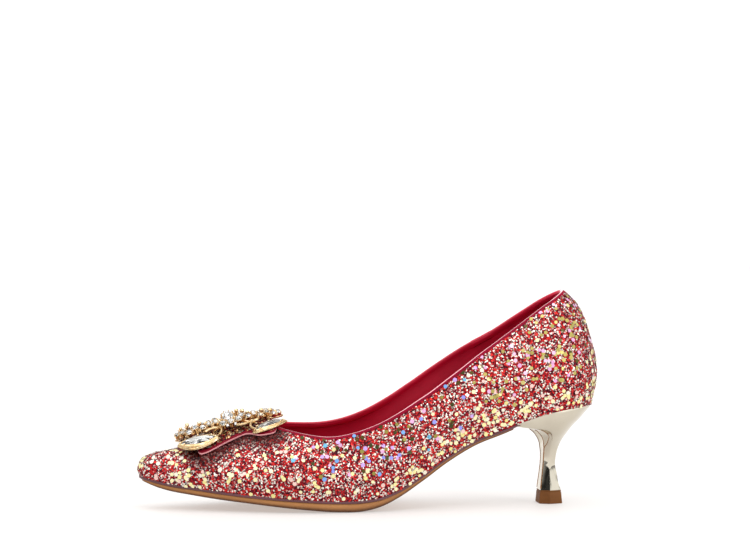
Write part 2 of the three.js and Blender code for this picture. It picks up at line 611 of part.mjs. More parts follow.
// Half of the heel's section at a height, from the middle of its front face round to the middle of its back.
function heelHalf(up) {
  const at = Object.fromEntries(Object.keys(heelColumns).map((key) => [key, heelColumns[key](up)]));
  const x = (share) => HEEL_BREAST + share * HEEL_SEAT;
  const w = (share) => share * HEEL_SEAT_WIDTH;
  const points = [];
  for (let i = 0; i < 2; i++) {
    const t = i / 2;
    points.push([x(at.front + at.hollow * (1 - t * t)), (w(at.halfFront) - Math.max(at.bevel, 0) * HEEL_SEAT * 0.8) * t]);
  }
  const bevel = Math.max(at.bevel, 0) * HEEL_SEAT;
  points.push([x(at.front), w(at.halfFront) - bevel * 0.8]);
  const flank = 3;
  for (let i = 0; i < flank; i++) {
    const t = i / flank;
    const round = Math.sin((t * Math.PI) / 2);
    const along = mix(x(at.front) + bevel, x(at.ridge), t);
    points.push([along, mix(w(at.halfFront), w(at.halfRidge), mix(round, t, at.facet))]);
  }
  const back = 4;
  const corner = 0.62; // where the rear face begins on the round back, as a share of the quarter turn
  for (let i = 0; i < back; i++) {
    const t = i / back;
    const turn = (t * corner * Math.PI) / 2;
    const round = [mix(x(at.ridge), x(at.rear), Math.sin(turn)), w(at.halfRidge) * Math.cos(turn)];
    const flat = [mix(x(at.ridge), x(at.rear), t), mix(w(at.halfRidge), w(at.halfRear), t)];
    points.push([mix(round[0], flat[0], at.facet), mix(round[1], flat[1], at.facet)]);
  }
  const rear = 2;
  for (let i = 0; i <= rear; i++) {
    const t = i / rear;
    const turn = (mix(corner, 1, t) * Math.PI) / 2;
    const round = [mix(x(at.ridge), x(at.rear), Math.sin(turn)), w(at.halfRidge) * Math.cos(turn)];
    const flat = [x(at.rear), w(at.halfRear) * (1 - t)];
    points.push([mix(round[0], flat[0], at.facet), mix(round[1], flat[1], at.facet)]);
  }
  return points;
}

// A closed body from level sections, given as half outlines with their heights, from the bottom up.
function tower(levels) {
  const loops = levels.map(({ half, z }) => {
    const lateral = half.map(([x, y]) => new THREE.Vector3(x, -y, z));
    const medial = half.slice(1, -1).reverse().map(([x, y]) => new THREE.Vector3(x, y, z));
    return [...lateral, ...medial];
  });
  const corners = [];
  const count = loops[0].length;
  const quad = (a, b, c, d) => corners.push(a, b, c, a, c, d);
  for (let k = 0; k < loops.length - 1; k++) {
    for (let i = 0; i < count; i++) {
      const j = (i + 1) % count;
      quad(loops[k][i], loops[k][j], loops[k + 1][j], loops[k + 1][i]);
    }
  }
  const cap = (loop, upward) => {
    const half = count / 2;
    for (let i = 0; i < half; i++) {
      const [a, b] = [loop[i], loop[i + 1]];
      const [c, d] = [loop[(count - i - 1) % count], loop[(count - i) % count]];
      if (upward) quad(a, b, c, d);
      else quad(a, d, c, b);
    }
  };
  cap(loops[0], false);
  cap(loops[loops.length - 1], true);
  return solid(corners);
}

function heelBody() {
  const levels = [];
  HEEL_LEVELS.slice(0, -1).forEach((row, k) => {
    const steps = row.up > 0.5 && row.up < 0.9 ? 2 : 1;
    for (let s = 0; s < steps; s++) levels.push(mix(row.up, HEEL_LEVELS[k + 1].up, s / steps));
  });
  levels.push(HEEL_LEVELS[HEEL_LEVELS.length - 1].up);
  const body = tower(levels.map((up) => ({ half: heelHalf(up), z: up * HEEL_HEIGHT })));
  const seat = plate(() => -0.2, MIDSOLE_TOP, -2 * HEEL_HEIGHT);
  const recess = plate((at) => randOut(at) + CLEARANCE, 30, MIDSOLE_BOTTOM - CLEARANCE);
  return body.intersect(seat).subtract(recess);
}

function topPieceBody() {
  const half = heelHalf(HEEL_LEVELS[0].up);
  const flared = half.map(([x, y]) => [BREAST_MIDDLE + (x - BREAST_MIDDLE) * 1.1, y * 1.06]);
  return tower([{ half: flared, z: 0 }, { half, z: TOP_PIECE_HEIGHT }]);
}
const BREAST_MIDDLE = HEEL_BREAST + 0.497 * HEEL_SEAT;

// The ornament

// The height of the last's surface over a place on the vamp.
function vampZ(x, y) {
  const half = halfSection(atX(x), y < 0 ? LATERAL : MEDIAL, 0, null, 1);
  const reach = Math.abs(y);
  for (let k = half.length - 1; k > 0; k--) {
    const [inner, outer] = [Math.abs(half[k].y), Math.abs(half[k - 1].y)];
    if (reach <= outer) return mix(half[k].z, half[k - 1].z, (reach - inner) / (outer - inner));
  }
  return half[1].z;
}

function outlineOf(points) {
  return new wasm.CrossSection([points]);
}

function bowBody() {
  const half = BOW_OUTLINE.map((p) => [BOW_AT + p.along * BOW_LENGTH, (p.across * BOW_WIDTH) / 2]);
  const outline = [...half.map(([x, y]) => [x, -y]), ...half.slice(1, -1).reverse()];
  const puff = (x, y) => {
    let up = 1;
    for (const loop of BOW_LOOPS) {
      const a = (x - BOW_AT - loop.along * BOW_LENGTH) / (loop.length * BOW_LENGTH);
      const b = y / ((loop.across * BOW_WIDTH) / 2);
      up += loop.up * Math.exp(-a * a - b * b);
    }
    return up * BOW_SHEET;
  };
  return outlineOf(outline)
    .extrude(1)
    .refineToLength(5.2)
    .warp((v) => {
      v[2] = vampZ(v[0], v[1]) + BOW_LIFT + v[2] * puff(v[0], v[1]);
    });
}

const broochLift = column(BROOCH_LINE, "lift");
const broochBend = column(BROOCH_LINE, "bend");

// The brooch's underside at a place along and across it, from its middle.
function broochBase(u, v) {
  const at = u / BROOCH_LENGTH;
  const bend = broochBend(at) * BROOCH_WIDTH;
  const x = BROOCH_AT + u;
  const vamp = featherZ(x) + columns.crown(atX(x)) * INSTEP;
  const z = vamp + broochLift(at) * BOW_SHEET + BROOCH_LEAN * v - (v * v) / (2 * bend);
  return new THREE.Vector3(x, v, z);
}

// Bends a flat body (along, across, up) onto the brooch's underside.
function drape(body) {
  return body.warp((v) => {
    const base = broochBase(v[0], v[1]);
    const along = broochBase(v[0] + 0.5, v[1]).sub(broochBase(v[0] - 0.5, v[1]));
    const across = broochBase(v[0], v[1] + 0.5).sub(broochBase(v[0], v[1] - 0.5));
    const p = base.addScaledVector(along.cross(across).normalize(), v[2]);
    v[0] = p.x;
    v[1] = p.y;
    v[2] = p.z;
  });
}

// The outline of a long pointed crystal: two arcs that meet at its tips.
function navette(long, wide) {
  const points = [];
  for (let i = 0; i < 12; i++) {
    const turn = (i / 12) * 2 * Math.PI;
    const c = Math.cos(turn);
    points.push([long * c, wide * Math.sin(turn) * (1 - 0.25 * c * c)]);
  }
  return points;
}

const disc = (radius, sides, at) => {
  const points = [];
  for (let i = 0; i < sides; i++) {
    const turn = (i / sides) * 2 * Math.PI;
    points.push([at[0] + radius * Math.cos(turn), at[1] + radius * Math.sin(turn)]);
  }
  return points;
};

// Every navette on both sides, with its place on the brooch.
const navettes = [LATERAL, MEDIAL].flatMap((side) =>
  NAVETTES.map((n) => ({
    name: n.name + (side === LATERAL ? "_lateral" : "_medial"),
    at: [n.along * BROOCH_LENGTH, side * n.across * BROOCH_LENGTH],
    long: n.long * BROOCH_LENGTH,
    wide: n.wide * BROOCH_LENGTH,
    turn: side * n.turn,
  })),
);

function placed(points, n) {
  const [c, s] = [Math.cos(n.turn), Math.sin(n.turn)];
  return points.map(([x, y]) => [n.at[0] + x * c - y * s, n.at[1] + x * s + y * c]);
}

const stones = [LATERAL, MEDIAL].flatMap((side) =>
  STONES.map((p) => [p.along * BROOCH_LENGTH, side * p.across * BROOCH_LENGTH, p.up * BROOCH_RIM]),
);

function broochBody() {
  const rim = 1.4;
  const parts = [];
  for (const n of navettes) {
    const outer = outlineOf(placed(navette(n.long + rim, n.wide + rim), n)).extrude(BROOCH_RIM * 0.85);
    const seat = outlineOf(placed(navette(n.long + CLEARANCE, n.wide + CLEARANCE), n)).extrude(BROOCH_RIM);
    parts.push(outer.subtract(seat.translate([0, 0, BROOCH_PLATE])));
  }
  for (const at of stones) parts.push(outlineOf(disc(STONE_CUP, 6, at)).extrude(at[2]));
  const middle = outlineOf(disc(CENTRE_CUP + 2.6, 12, [0, 0])).extrude(BROOCH_PLATE);
  const cup = outlineOf(disc(CENTRE_CUP, 12, [0, 0])).extrude(BROOCH_RIM + 1.4);
  const hole = outlineOf(disc(CENTRE_STONE + CLEARANCE, 12, [0, 0])).extrude(9);
  parts.push(middle, cup.subtract(hole.translate([0, 0, BROOCH_RIM + 0.2])));
  const bar = (a, b, half) => {
    const run = new THREE.Vector2(b[0] - a[0], b[1] - a[1]).normalize().multiplyScalar(half);
    const outline = [[a[0] + run.y, a[1] - run.x], [b[0] + run.y, b[1] - run.x],
      [b[0] - run.y, b[1] + run.x], [a[0] - run.y, a[1] + run.x]];
    parts.push(outlineOf(outline).extrude(BROOCH_PLATE));
  };
  const count = STONES.length;
  for (const offset of [0, count]) {
    for (let i = 0; i < 7; i++) bar(stones[offset + i], stones[offset + i + 1], 1);
    for (let i = 8; i < 14; i++) bar(stones[offset + i], stones[offset + i + 1], 1);
    bar([0, 0], stones[offset], 1);
    bar([0, 0], stones[offset + 8], 1);
  }
  bar(stones[7], stones[count + 7], 1);
  bar(stones[14], stones[count + 14], 1);
  for (const n of navettes) {
    const side = Math.sign(n.at[1]);
    bar([n.at[0], n.at[1] - side * n.wide], [n.at[0], side * 2.8], 0.9);
    bar([n.at[0] - Math.sign(n.at[0]) * n.long * 0.9, n.at[1] - side], [0, 0], 0.9);
  }
  return drape(wasm.Manifold.union(parts).simplify(0.05).refineToLength(12));
}

// A cut stone over an outline: girdle, crown and table, on a short underside.
function cutStone(outline, seat, height) {
  const middle = outline.reduce((sum, p) => [sum[0] + p[0] / outline.length, sum[1] + p[1] / outline.length], [0, 0]);
  const ring = (share, up) => outline.map(([x, y]) => [mix(middle[0], x, share), mix(middle[1], y, share), up]);
  const points = [...ring(0.8, seat), ...ring(1, seat + height * 0.3), ...ring(0.55, seat + height)];
  return drape(wasm.Manifold.hull(points));
}

// The shoe

const upperBody = lastBody(0, 3)
  .subtract(lastBody(UPPER_WALL, 4))
  .subtract(opening(BINDING_WIDTH + CLEARANCE))
  .intersect(slab(0, SKY));

const bindingBody = lastBody(-BINDING_PROUD, 3)
  .subtract(lastBody(UPPER_WALL + BINDING_PROUD, 4))
  .intersect(opening(BINDING_WIDTH))
  .subtract(opening(0));

const insoleBody = lastBody(UPPER_WALL + CLEARANCE, 4).intersect(slab(0, INSOLE_THICKNESS));

const group = new THREE.Group();

function add(name, body, color, roughness, metalness) {
  const material = new THREE.MeshStandardMaterial({ color, roughness, metalness, flatShading: true });
  const mesh = new THREE.Mesh(geometryOf(body), material);
  mesh.name = name;
  group.add(mesh);
}

add("upper", upperBody, COLOURS.glitter, 0.7, 0.1);
add("topline_binding", bindingBody, COLOURS.redLeather, 0.45, 0);
add("insole", insoleBody, COLOURS.redLeather, 0.6, 0);
add("rand", plate(randOut, MIDSOLE_TOP, MIDSOLE_BOTTOM), COLOURS.mauve, 0.6, 0);
add("outsole", outsoleBody(), COLOURS.tan, 0.55, 0);
add("heel", heelBody(), COLOURS.gold, 0.15, 1);
add("top_piece", topPieceBody(), COLOURS.brown, 0.7, 0);
add("bow_pad", bowBody(), COLOURS.glitter, 0.7, 0.1);
add("brooch_frame", broochBody(), COLOURS.brooch, 0.25, 1);
for (const n of navettes) {
  const outline = placed(navette(n.long, n.wide), n);
  add("crystal_" + n.name, cutStone(outline, BROOCH_PLATE + CLEARANCE, 2.6), COLOURS.crystal, 0.05, 0);
}
const centreOutline = disc(CENTRE_STONE, 12, [0, 0]);
add("crystal_centre", cutStone(centreOutline, BROOCH_RIM + 0.5, 3.2), COLOURS.crystal, 0.05, 0);

export default group;
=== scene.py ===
# Wedding pump for the left foot: glitter upper, crimson binding and lining, gold kitten heel, crystal bow.
# The frame is in metres. The shapes below are worked out in millimetres and scaled when a mesh is made.
import math

import bpy
import numpy as np
from mathutils import Matrix, Vector


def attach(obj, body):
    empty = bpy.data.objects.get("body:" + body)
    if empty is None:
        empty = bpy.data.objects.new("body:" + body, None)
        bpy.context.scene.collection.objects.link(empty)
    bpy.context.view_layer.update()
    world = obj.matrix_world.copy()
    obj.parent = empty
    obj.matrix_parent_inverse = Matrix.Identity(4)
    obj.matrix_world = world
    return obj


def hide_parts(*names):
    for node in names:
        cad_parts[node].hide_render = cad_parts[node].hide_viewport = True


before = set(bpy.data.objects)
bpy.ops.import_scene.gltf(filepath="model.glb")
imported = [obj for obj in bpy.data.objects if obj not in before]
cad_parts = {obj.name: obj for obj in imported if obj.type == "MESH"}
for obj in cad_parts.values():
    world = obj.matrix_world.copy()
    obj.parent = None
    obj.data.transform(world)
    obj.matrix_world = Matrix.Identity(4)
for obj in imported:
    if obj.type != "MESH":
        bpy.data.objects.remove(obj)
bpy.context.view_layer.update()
MM = 0.001

# Driving sizes, the same as the solids'
LENGTH = 249.7
BALL_AT = 0.4365
BALL_WIDTH = 72.0
TOE_SPRING = 11.8
HEEL_RISE = 48.0
INSTEP = 60.0
COUNTER_HEIGHT = 62.0
BALL_STACK = 6.3
HEEL_BREAST = 0.36766 * LENGTH
HEEL_SEAT = 0.1842 * LENGTH
HEEL_SEAT_WIDTH = 0.69444 * BALL_WIDTH
HEEL_HEIGHT = 54.0
OUTSOLE_THICKNESS = 4.6
INSOLE_TOP = 2.2
RAND_TOP = -0.1
RAND_BOTTOM = -1.45
SOLE_TOP = -1.5
BOW_AT = -0.2283 * LENGTH
BOW_LENGTH = 0.1682 * LENGTH
BOW_WIDTH = 40.0
BOW_SHEET = 1.2
BOW_LIFT = 0.5
BROOCH_AT = -0.2403 * LENGTH
BROOCH_LENGTH = 0.2243 * LENGTH
BROOCH_WIDTH = 36.0
BROOCH_RIM = 2.1
BROOCH_LEAN = 0.06
LATERAL, MEDIAL = -1, 1

FEATHER_AT = [0, 0.025, 0.06, 0.12, 0.19, 0.27, 0.35, 0.42, 0.47, 0.51, 0.55, 0.6, 0.66, 0.72, 0.78, 0.83,
              0.88, 0.94, 1]
FEATHER_SPRING = [1, 0.87, 0.7, 0.53, 0.35, 0.185, 0.07, 0.005] + [0] * 11
FEATHER_RISE = [0] * 8 + [0.004, 0.034, 0.109, 0.26, 0.468, 0.638, 0.748, 0.844, 0.925, 0.981, 1]

# Sections of the last: half widths are shares of BALL_WIDTH, lateral then medial. The crown is a share of
# INSTEP, and the other heights are shares of the crown.
SECTION_KEYS = ("at", "crown", "featherL", "featherM", "bulgeL", "bulgeM", "bulgeUp",
                "shoulderL", "shoulderM", "shoulderUp", "rimL", "rimM", "rimUp")
SECTIONS = [
    (0.045, 0.247, 0.152, 0.152, 0.174, 0.174, 0.36, 0.136, 0.136, 0.74, 0.072, 0.072, 0.94),
    (0.1, 0.333, 0.229, 0.225, 0.254, 0.25, 0.34, 0.2, 0.195, 0.72, 0.108, 0.105, 0.93),
    (0.17, 0.442, 0.333, 0.333, 0.365, 0.365, 0.31, 0.281, 0.279, 0.7, 0.153, 0.15, 0.92),
    (0.25, 0.58, 0.431, 0.438, 0.467, 0.472, 0.28, 0.35, 0.342, 0.7, 0.19, 0.183, 0.92),
    (0.33, 0.708, 0.493, 0.486, 0.532, 0.522, 0.25, 0.424, 0.403, 0.66, 0.285, 0.264, 0.87),
    (0.41, 0.833, 0.521, 0.465, 0.556, 0.507, 0.24, 0.504, 0.458, 0.5, 0.438, 0.396, 0.7),
    (0.49, 0.967, 0.493, 0.396, 0.532, 0.456, 0.23, 0.5, 0.435, 0.48, 0.442, 0.397, 0.67),
    (0.57, 1.067, 0.431, 0.319, 0.481, 0.407, 0.26, 0.461, 0.403, 0.48, 0.417, 0.379, 0.69),
    (0.65, 1.067, 0.375, 0.282, 0.439, 0.375, 0.28, 0.428, 0.378, 0.5, 0.383, 0.356, 0.71),
    (0.73, 1.067, 0.35, 0.285, 0.414, 0.367, 0.29, 0.4, 0.364, 0.52, 0.347, 0.331, 0.73),
    (0.81, 1.1, 0.342, 0.308, 0.397, 0.375, 0.28, 0.375, 0.361, 0.54, 0.296, 0.289, 0.79),
    (0.885, 1.15, 0.344, 0.333, 0.389, 0.381, 0.265, 0.35, 0.344, 0.55, 0.236, 0.233, 0.84),
]
TOE_END = {"feather": 0.042, "bulge": 0.045, "shoulder": 0.037, "rim": 0.02,
           "bulgeUp": 0.277, "shoulderUp": 0.574, "rimUp": 0.736}
HEEL_END = {"feather": 0.1025, "bulge": 0.115, "shoulder": 0.1015, "rim": 0.066,
            "bulgeUp": 0.242, "shoulderUp": 0.518, "rimUp": 0.815}

# The topline from the throat to the back: place, lateral and medial height over the feather line
TOPLINE = [
    (0.291, 0.78, 0.78), (0.2918, 0.645, 0.645), (0.294, 0.604, 0.611), (0.3, 0.586, 0.6),
    (0.312, 0.576, 0.594), (0.335, 0.561, 0.591), (0.365, 0.547, 0.591), (0.395, 0.543, 0.595),
    (0.425, 0.557, 0.609), (0.46, 0.59, 0.64), (0.5, 0.63, 0.684), (0.54, 0.664, 0.718),
    (0.58, 0.679, 0.734), (0.62, 0.679, 0.741), (0.66, 0.689, 0.746), (0.7, 0.714, 0.761),
    (0.74, 0.758, 0.785), (0.78, 0.814, 0.819), (0.82, 0.866, 0.866), (0.86, 0.924, 0.92),
    (0.9, 0.985, 0.984), (0.925, 1.027, 1.027), (0.96, 1.068, 1.068), (1.06, 1.096, 1.096),
]

# The outsole: place, thickness as a share of OUTSOLE_THICKNESS, inset of the edge as a share of BALL_WIDTH
OUTSOLE_LINE = [
    (0.0, 0.2, 0.02), (0.035, 0.44, 0.014), (0.1, 0.62, 0.012), (0.25, 0.72, 0.012), (0.34, 0.9, 0.012),
    (0.42, 1.02, 0.012), (0.47, 1.02, 0.014), (0.51, 0.86, 0.018), (0.56, 0.6, 0.024), (0.65, 0.46, 0.036),
    (0.73, 0.38, 0.05), (0.82, 0.26, 0.07),
]

# The heel's levels: height in shares of HEEL_HEIGHT, half widths in shares of HEEL_SEAT_WIDTH, the other
# lengths in shares of HEEL_SEAT. The facet is 0 where the heel is round and 1 where it is flat-sided.
HEEL_KEYS = ("up", "front", "ridge", "rear", "halfFront", "halfRidge", "halfRear",
             "hollow", "bevel", "facet")
HEEL_LEVELS = [
    (0.136, 0.375, 0.482, 0.626, 0.11, 0.157, 0.106, 0, 0, 0.88),
    (0.2, 0.383, 0.482, 0.608, 0.1, 0.147, 0.094, 0, 0, 0.5),
    (0.29, 0.396, 0.482, 0.587, 0.091, 0.136, 0.08, 0, 0, 0.62),
    (0.39, 0.409, 0.482, 0.561, 0.086, 0.13, 0.07, 0, 0, 0.8),
    (0.48, 0.415, 0.483, 0.568, 0.088, 0.134, 0.074, 0, 0, 0.88),
    (0.55, 0.413, 0.486, 0.587, 0.115, 0.162, 0.09, 0.006, 0, 0.75),
    (0.64, 0.396, 0.485, 0.638, 0.2, 0.245, 0.12, 0.03, 0.05, 0.3),
    (0.715, 0.335, 0.47, 0.705, 0.31, 0.335, 0.15, 0.06, 0.085, 0),
    (0.77, 0.23, 0.455, 0.755, 0.395, 0.395, 0.2, 0.05, 0.055, 0),
    (0.807, 0.02, 0.45, 0.795, 0.45, 0.425, 0.2, 0, 0.008, 0),
    (0.85, 0, 0.445, 0.848, 0.485, 0.455, 0.2, 0, 0, 0),
    (0.93, 0, 0.44, 0.932, 0.505, 0.49, 0.2, 0, 0, 0),
    (0.97, 0, 0.44, 0.975, 0.51, 0.505, 0.2, 0, 0, 0),
    (1.04, 0, 0.44, 1.04, 0.52, 0.52, 0.2, 0, 0, 0),
]

# The bow's half outline: place along in shares of BOW_LENGTH, place across in shares of half the BOW_WIDTH
BOW_OUTLINE = [
    (-0.44, 0), (-0.48, 0.4), (-0.485, 0.74), (-0.4, 0.83), (-0.28, 0.8), (-0.15, 0.73), (0.0, 0.66),
    (0.1, 0.64), (0.19, 0.74), (0.27, 0.9), (0.37, 0.98), (0.48, 1.0), (0.5, 0.7), (0.47, 0.35), (0.45, 0),
]
# The bow's two loops: place along and reach along in shares of BOW_LENGTH, reach across in shares of half
# the BOW_WIDTH, height in shares of BOW_SHEET
BOW_LOOPS = [(-0.22, 0.3, 0.5, 2.1), (0.24, 0.24, 0.6, 1.0)]

# The brooch: place along it, lift over the vamp in shares of BOW_SHEET, radius of the bend across it in
# shares of BROOCH_WIDTH
BROOCH_LINE = [
    (-0.55, 4.05, 0.37), (-0.36, 4.72, 0.41), (-0.18, 5.26, 0.47), (0, 5.12, 0.56), (0.18, 4.2, 0.8),
    (0.36, 2.7, 1.15), (0.52, 1.15, 1.3),
]
# The long crystals of one side: place along and across, half length and half width in shares of
# BROOCH_LENGTH, turn, depth they are sunk by in mm
NAVETTES = [(-0.305, 0.2, 0.165, 0.045, 0.2, 0.0), (0.365, 0.25, 0.14, 0.06, -0.3, 1.7)]
# Small stones of one side, first the front row, then the rear row, then the ones beside the centre stone:
# place along and across in shares of BROOCH_LENGTH, height in shares of BROOCH_RIM, radius, lean, direction
STONES = [
    (-0.12, 0.06, 1.9, 1.6, 0.5, 2.2), (-0.185, 0.05, 1.7, 1.5, 0.4, 4.0),
    (-0.245, 0.075, 1.6, 1.8, 0.5, 4.6), (-0.315, 0.045, 1.8, 1.7, 0.5, 1.0),
    (-0.375, 0.08, 1.6, 1.7, 0.6, 5.0), (-0.435, 0.045, 1.6, 1.8, 0.5, 3.3),
    (-0.49, 0.03, 1.1, 1.4, 0.6, 3.0),
    (0.12, 0.06, 1.9, 1.8, 0.6, 0.6), (0.185, 0.09, 1.5, 1.7, 0.5, 5.4),
    (0.24, 0.045, 1.5, 1.6, 0.4, 1.8), (0.3, 0.095, 1.3, 1.7, 0.5, 4.2),
    (0.36, 0.05, 1.6, 1.8, 0.5, 2.4), (0.425, 0.09, 1.2, 1.5, 0.5, 5.8),
    (0.475, 0.045, 1.0, 1.5, 0.6, 0.2),
    (0.02, 0.125, 1.8, 1.9, 0.7, 4.7), (-0.055, 0.12, 1.7, 1.8, 0.7, 4.7),
    (0.092, 0.125, 1.9, 1.8, 0.7, 4.7),
]
FRONT_STONES = 7
FLANK_STONES = 3
NAVETTE_LEAN = 0.24
# Knobs on posts along the crest: place along and across in mm, height of the top over the floor, radius
KNOBS = [
    (-82.6, 0.5, 45.5, 1.25), (-76.1, -0.5, 46.5, 1.25), (-72.3, 1.5, 46.0, 1.1), (-86.0, 1.0, 43.2, 1.0),
    (-62.6, 4.2, 50.8, 1.15), (-55.9, 3.4, 52.8, 1.2), (-53.0, 1.0, 53.0, 1.35), (-50.0, 2.8, 51.8, 1.1),
    (-42.6, 1.5, 53.2, 1.2), (-37.9, 0.5, 53.4, 1.4), (-35.2, -1.5, 52.2, 1.1), (-33.4, 1.5, 51.6, 1.15),
]
# The round stone in the middle: radius in mm and lean in radians
CENTRE_STONE = 2.9
CENTRE_LEAN = 0.5
# Scrolls of beaded wire by the long crystals: places along and across in mm from the brooch's middle
SCROLLS = [
    [(-6.4, 12.4), (-4.5, 10.0), (-4.8, 7.0), (-7.4, 5.6), (-10.6, 5.4), (-13.6, 6.4)],
    [(12.4, 16.8), (10.8, 14.4), (10.9, 11.4), (12.6, 9.2), (15.2, 8.2)],
    [(3.8, 8.8), (6.2, 9.9), (9.0, 9.9), (11.6, 8.7)],
]


# Smooth curves through the tables
def knot_slope(xs, ys, k):
    last = len(xs) - 1
    if k == 0:
        return (ys[1] - ys[0]) / (xs[1] - xs[0])
    if k == last:
        return (ys[last] - ys[last - 1]) / (xs[last] - xs[last - 1])
    before = xs[k] - xs[k - 1]
    after = xs[k + 1] - xs[k]
    return ((ys[k] - ys[k - 1]) / before * after + (ys[k + 1] - ys[k]) / after * before) / (before + after)


def through(xs, ys, x):
    k = 0
    while k < len(xs) - 2 and x > xs[k + 1]:
        k += 1
    span = xs[k + 1] - xs[k]
    t = min(max((x - xs[k]) / span, 0.0), 1.0)
    a = knot_slope(xs, ys, k) * span
    b = knot_slope(xs, ys, k + 1) * span
    rise = ys[k + 1] - ys[k]
    return ys[k] + t * (a + t * (3 * rise - 2 * a - b + t * (a + b - 2 * rise)))


def column(rows, key):
    xs = [row[0] for row in rows]
    ys = [row[key] for row in rows]
    return lambda at: through(xs, ys, at)


def smooth_path(points, steps):
    knots = [0.0]
    for a, b in zip(points, points[1:]):
        knots.append(knots[-1] + math.sqrt(math.dist(a, b)))
    axes = list(zip(*points))
    samples = []
    for i, count in enumerate(steps):
        for s in range(count):
            u = knots[i] + (knots[i + 1] - knots[i]) * s / count
            samples.append([through(knots, axis, u) for axis in axes])
    return samples


def mix(a, b, t):
    return a + (b - a) * t


def smoothstep(low, high, value):
    t = np.clip((value - low) / (high - low), 0, 1)
    return t * t * (3 - 2 * t)


def x_at(at):
    return LENGTH * (at - BALL_AT)


def at_x(x):
    return x / LENGTH + BALL_AT


def feather_z(x):
    at = at_x(x)
    spring = through(FEATHER_AT, FEATHER_SPRING, at) * TOE_SPRING
    return BALL_STACK + spring + through(FEATHER_AT, FEATHER_RISE, at) * HEEL_RISE


FEATHER_XS = np.linspace(-130, 170, 1201)
FEATHER_ZS = np.array([feather_z(x) for x in FEATHER_XS])


def feather_zs(xs):
    return np.interp(xs, FEATHER_XS, FEATHER_ZS)


# The last
PARTS = ("feather", "bulge", "shoulder", "rim")
SECTION_STEPS = (10, 12, 14, 14)
TOE_AT = SECTIONS[0][0]
HEEL_AT = SECTIONS[-1][0]
COLUMNS = {key: column(SECTIONS, i) for i, key in enumerate(SECTION_KEYS)}
TOE_STEPS, MID_STEPS, HEEL_STEPS = 26, 180, 34
SPREAD_STEP = 0.004


# The points a section is drawn through, each with its half width, height and how fast it widens
def controls(at, side):
    letter = "L" if side == LATERAL else "M"
    base = feather_z(x_at(at))
    crown = COLUMNS["crown"](at) * INSTEP
    found = []
    for part in PARTS:
        width = COLUMNS[part + letter]
        up = 0 if part == "feather" else COLUMNS[part + "Up"](at) * crown
        spread = (width(at + SPREAD_STEP) - width(at - SPREAD_STEP)) * BALL_WIDTH
        found.append((width(at) * BALL_WIDTH, base + up, spread))
    return found


# One half of a section, from the feather edge to the crown. With a turn it is one of the sections that
# close the toe or the heel, turned about the first or last place of the table.
def half_section(at, side, turn=0.0, end=None, forward=1):
    x = x_at(at)
    crown_z = COLUMNS["crown"](at) * INSTEP
    points = []
    for part, (r, z, spread) in zip(PARTS, controls(at, side)):
        if turn == 0:
            points.append((x, side * r, z))
            continue
        tip = end[part] * LENGTH
        narrowing = max(-forward * spread / (2 * SPREAD_STEP * LENGTH), 0)
        back = narrowing * tip * tip / max(r - 2 * narrowing * tip, 0.15 * r)
        radius = back + tip
        start = math.asin(back / radius)
        angle = mix(start, math.pi / 2, turn)
        reach = radius * math.sin(angle) - back
        across = r * math.cos(angle) / math.cos(start)
        here = x + forward * reach
        if part == "feather":
            points.append((here, side * across, feather_z(here)))
            continue
        tip_z = feather_z(x + forward * end["feather"] * LENGTH) + end[part + "Up"] * crown_z
        points.append((here, side * across, mix(z, tip_z, (reach / tip) ** 2)))
    crown = (x, 0.0, feather_z(x) + crown_z)
    rim = points[-1]
    beyond = (2 * x - rim[0], -rim[1], rim[2])
    return smooth_path(points + [crown, beyond], SECTION_STEPS + (0,)) + [list(crown)]


def stations(side):
    found = []
    for i in range(TOE_STEPS):
        found.append(half_section(TOE_AT, side, 1 - i / TOE_STEPS, TOE_END, -1))
    for i in range(MID_STEPS + 1):
        found.append(half_section(mix(TOE_AT, HEEL_AT, i / MID_STEPS), side))
    for i in range(1, HEEL_STEPS + 1):
        found.append(half_section(HEEL_AT, side, i / HEEL_STEPS, HEEL_END, 1))
    return found


RING = np.array(stations(LATERAL) + stations(MEDIAL)[1:-1][::-1])
COUNT, ROWS = RING.shape[0], RING.shape[1]
PARTNER = (COUNT - np.arange(COUNT)) % COUNT


def face_normals(points, tris):
    corners = points[tris]
    return np.cross(corners[:, 1] - corners[:, 0], corners[:, 2] - corners[:, 0])


def mesh_normals(points, tris):
    face = face_normals(points, tris)
    total = np.zeros_like(points)
    for k in range(3):
        np.add.at(total, tris[:, k], face)
    return total / np.maximum(np.linalg.norm(total, axis=1, keepdims=True), 1e-12)


# The last's surface as points and triangles, with the crown line shared by both sides
def last_surface():
    index = np.arange(COUNT * ROWS).reshape(COUNT, ROWS)
    first, final = TOE_STEPS, TOE_STEPS + MID_STEPS
    for i in range(COUNT):
        station = min(i, int(PARTNER[i]))
        index[i, -1] = index[min(max(station, first), final), -1]
    a = index[:, :-1]
    b = np.roll(index, -1, axis=0)[:, :-1]
    c = np.roll(index, -1, axis=0)[:, 1:]
    d = index[:, 1:]
    tris = np.concatenate([np.stack([a, b, c], -1).reshape(-1, 3), np.stack([a, c, d], -1).reshape(-1, 3)])
    keep = (tris[:, 0] != tris[:, 1]) & (tris[:, 1] != tris[:, 2]) & (tris[:, 2] != tris[:, 0])
    tris = tris[keep]
    used, tris = np.unique(tris, return_inverse=True)
    return RING.reshape(-1, 3)[used], tris.reshape(-1, 3)


SKIN, SKIN_TRIS = last_surface()
SKIN_NORMALS = mesh_normals(SKIN, SKIN_TRIS)


# The topline in the side view, lateral and medial, as dense points
def topline_points(key):
    height = column(TOPLINE, key)
    places = []
    for a, b in zip(TOPLINE, TOPLINE[1:]):
        places += [mix(a[0], b[0], s / 10) for s in range(10)]
    places.append(TOPLINE[-1][0])
    return np.array([(x_at(at), feather_z(x_at(at)) + height(at) * COUNTER_HEIGHT) for at in places])


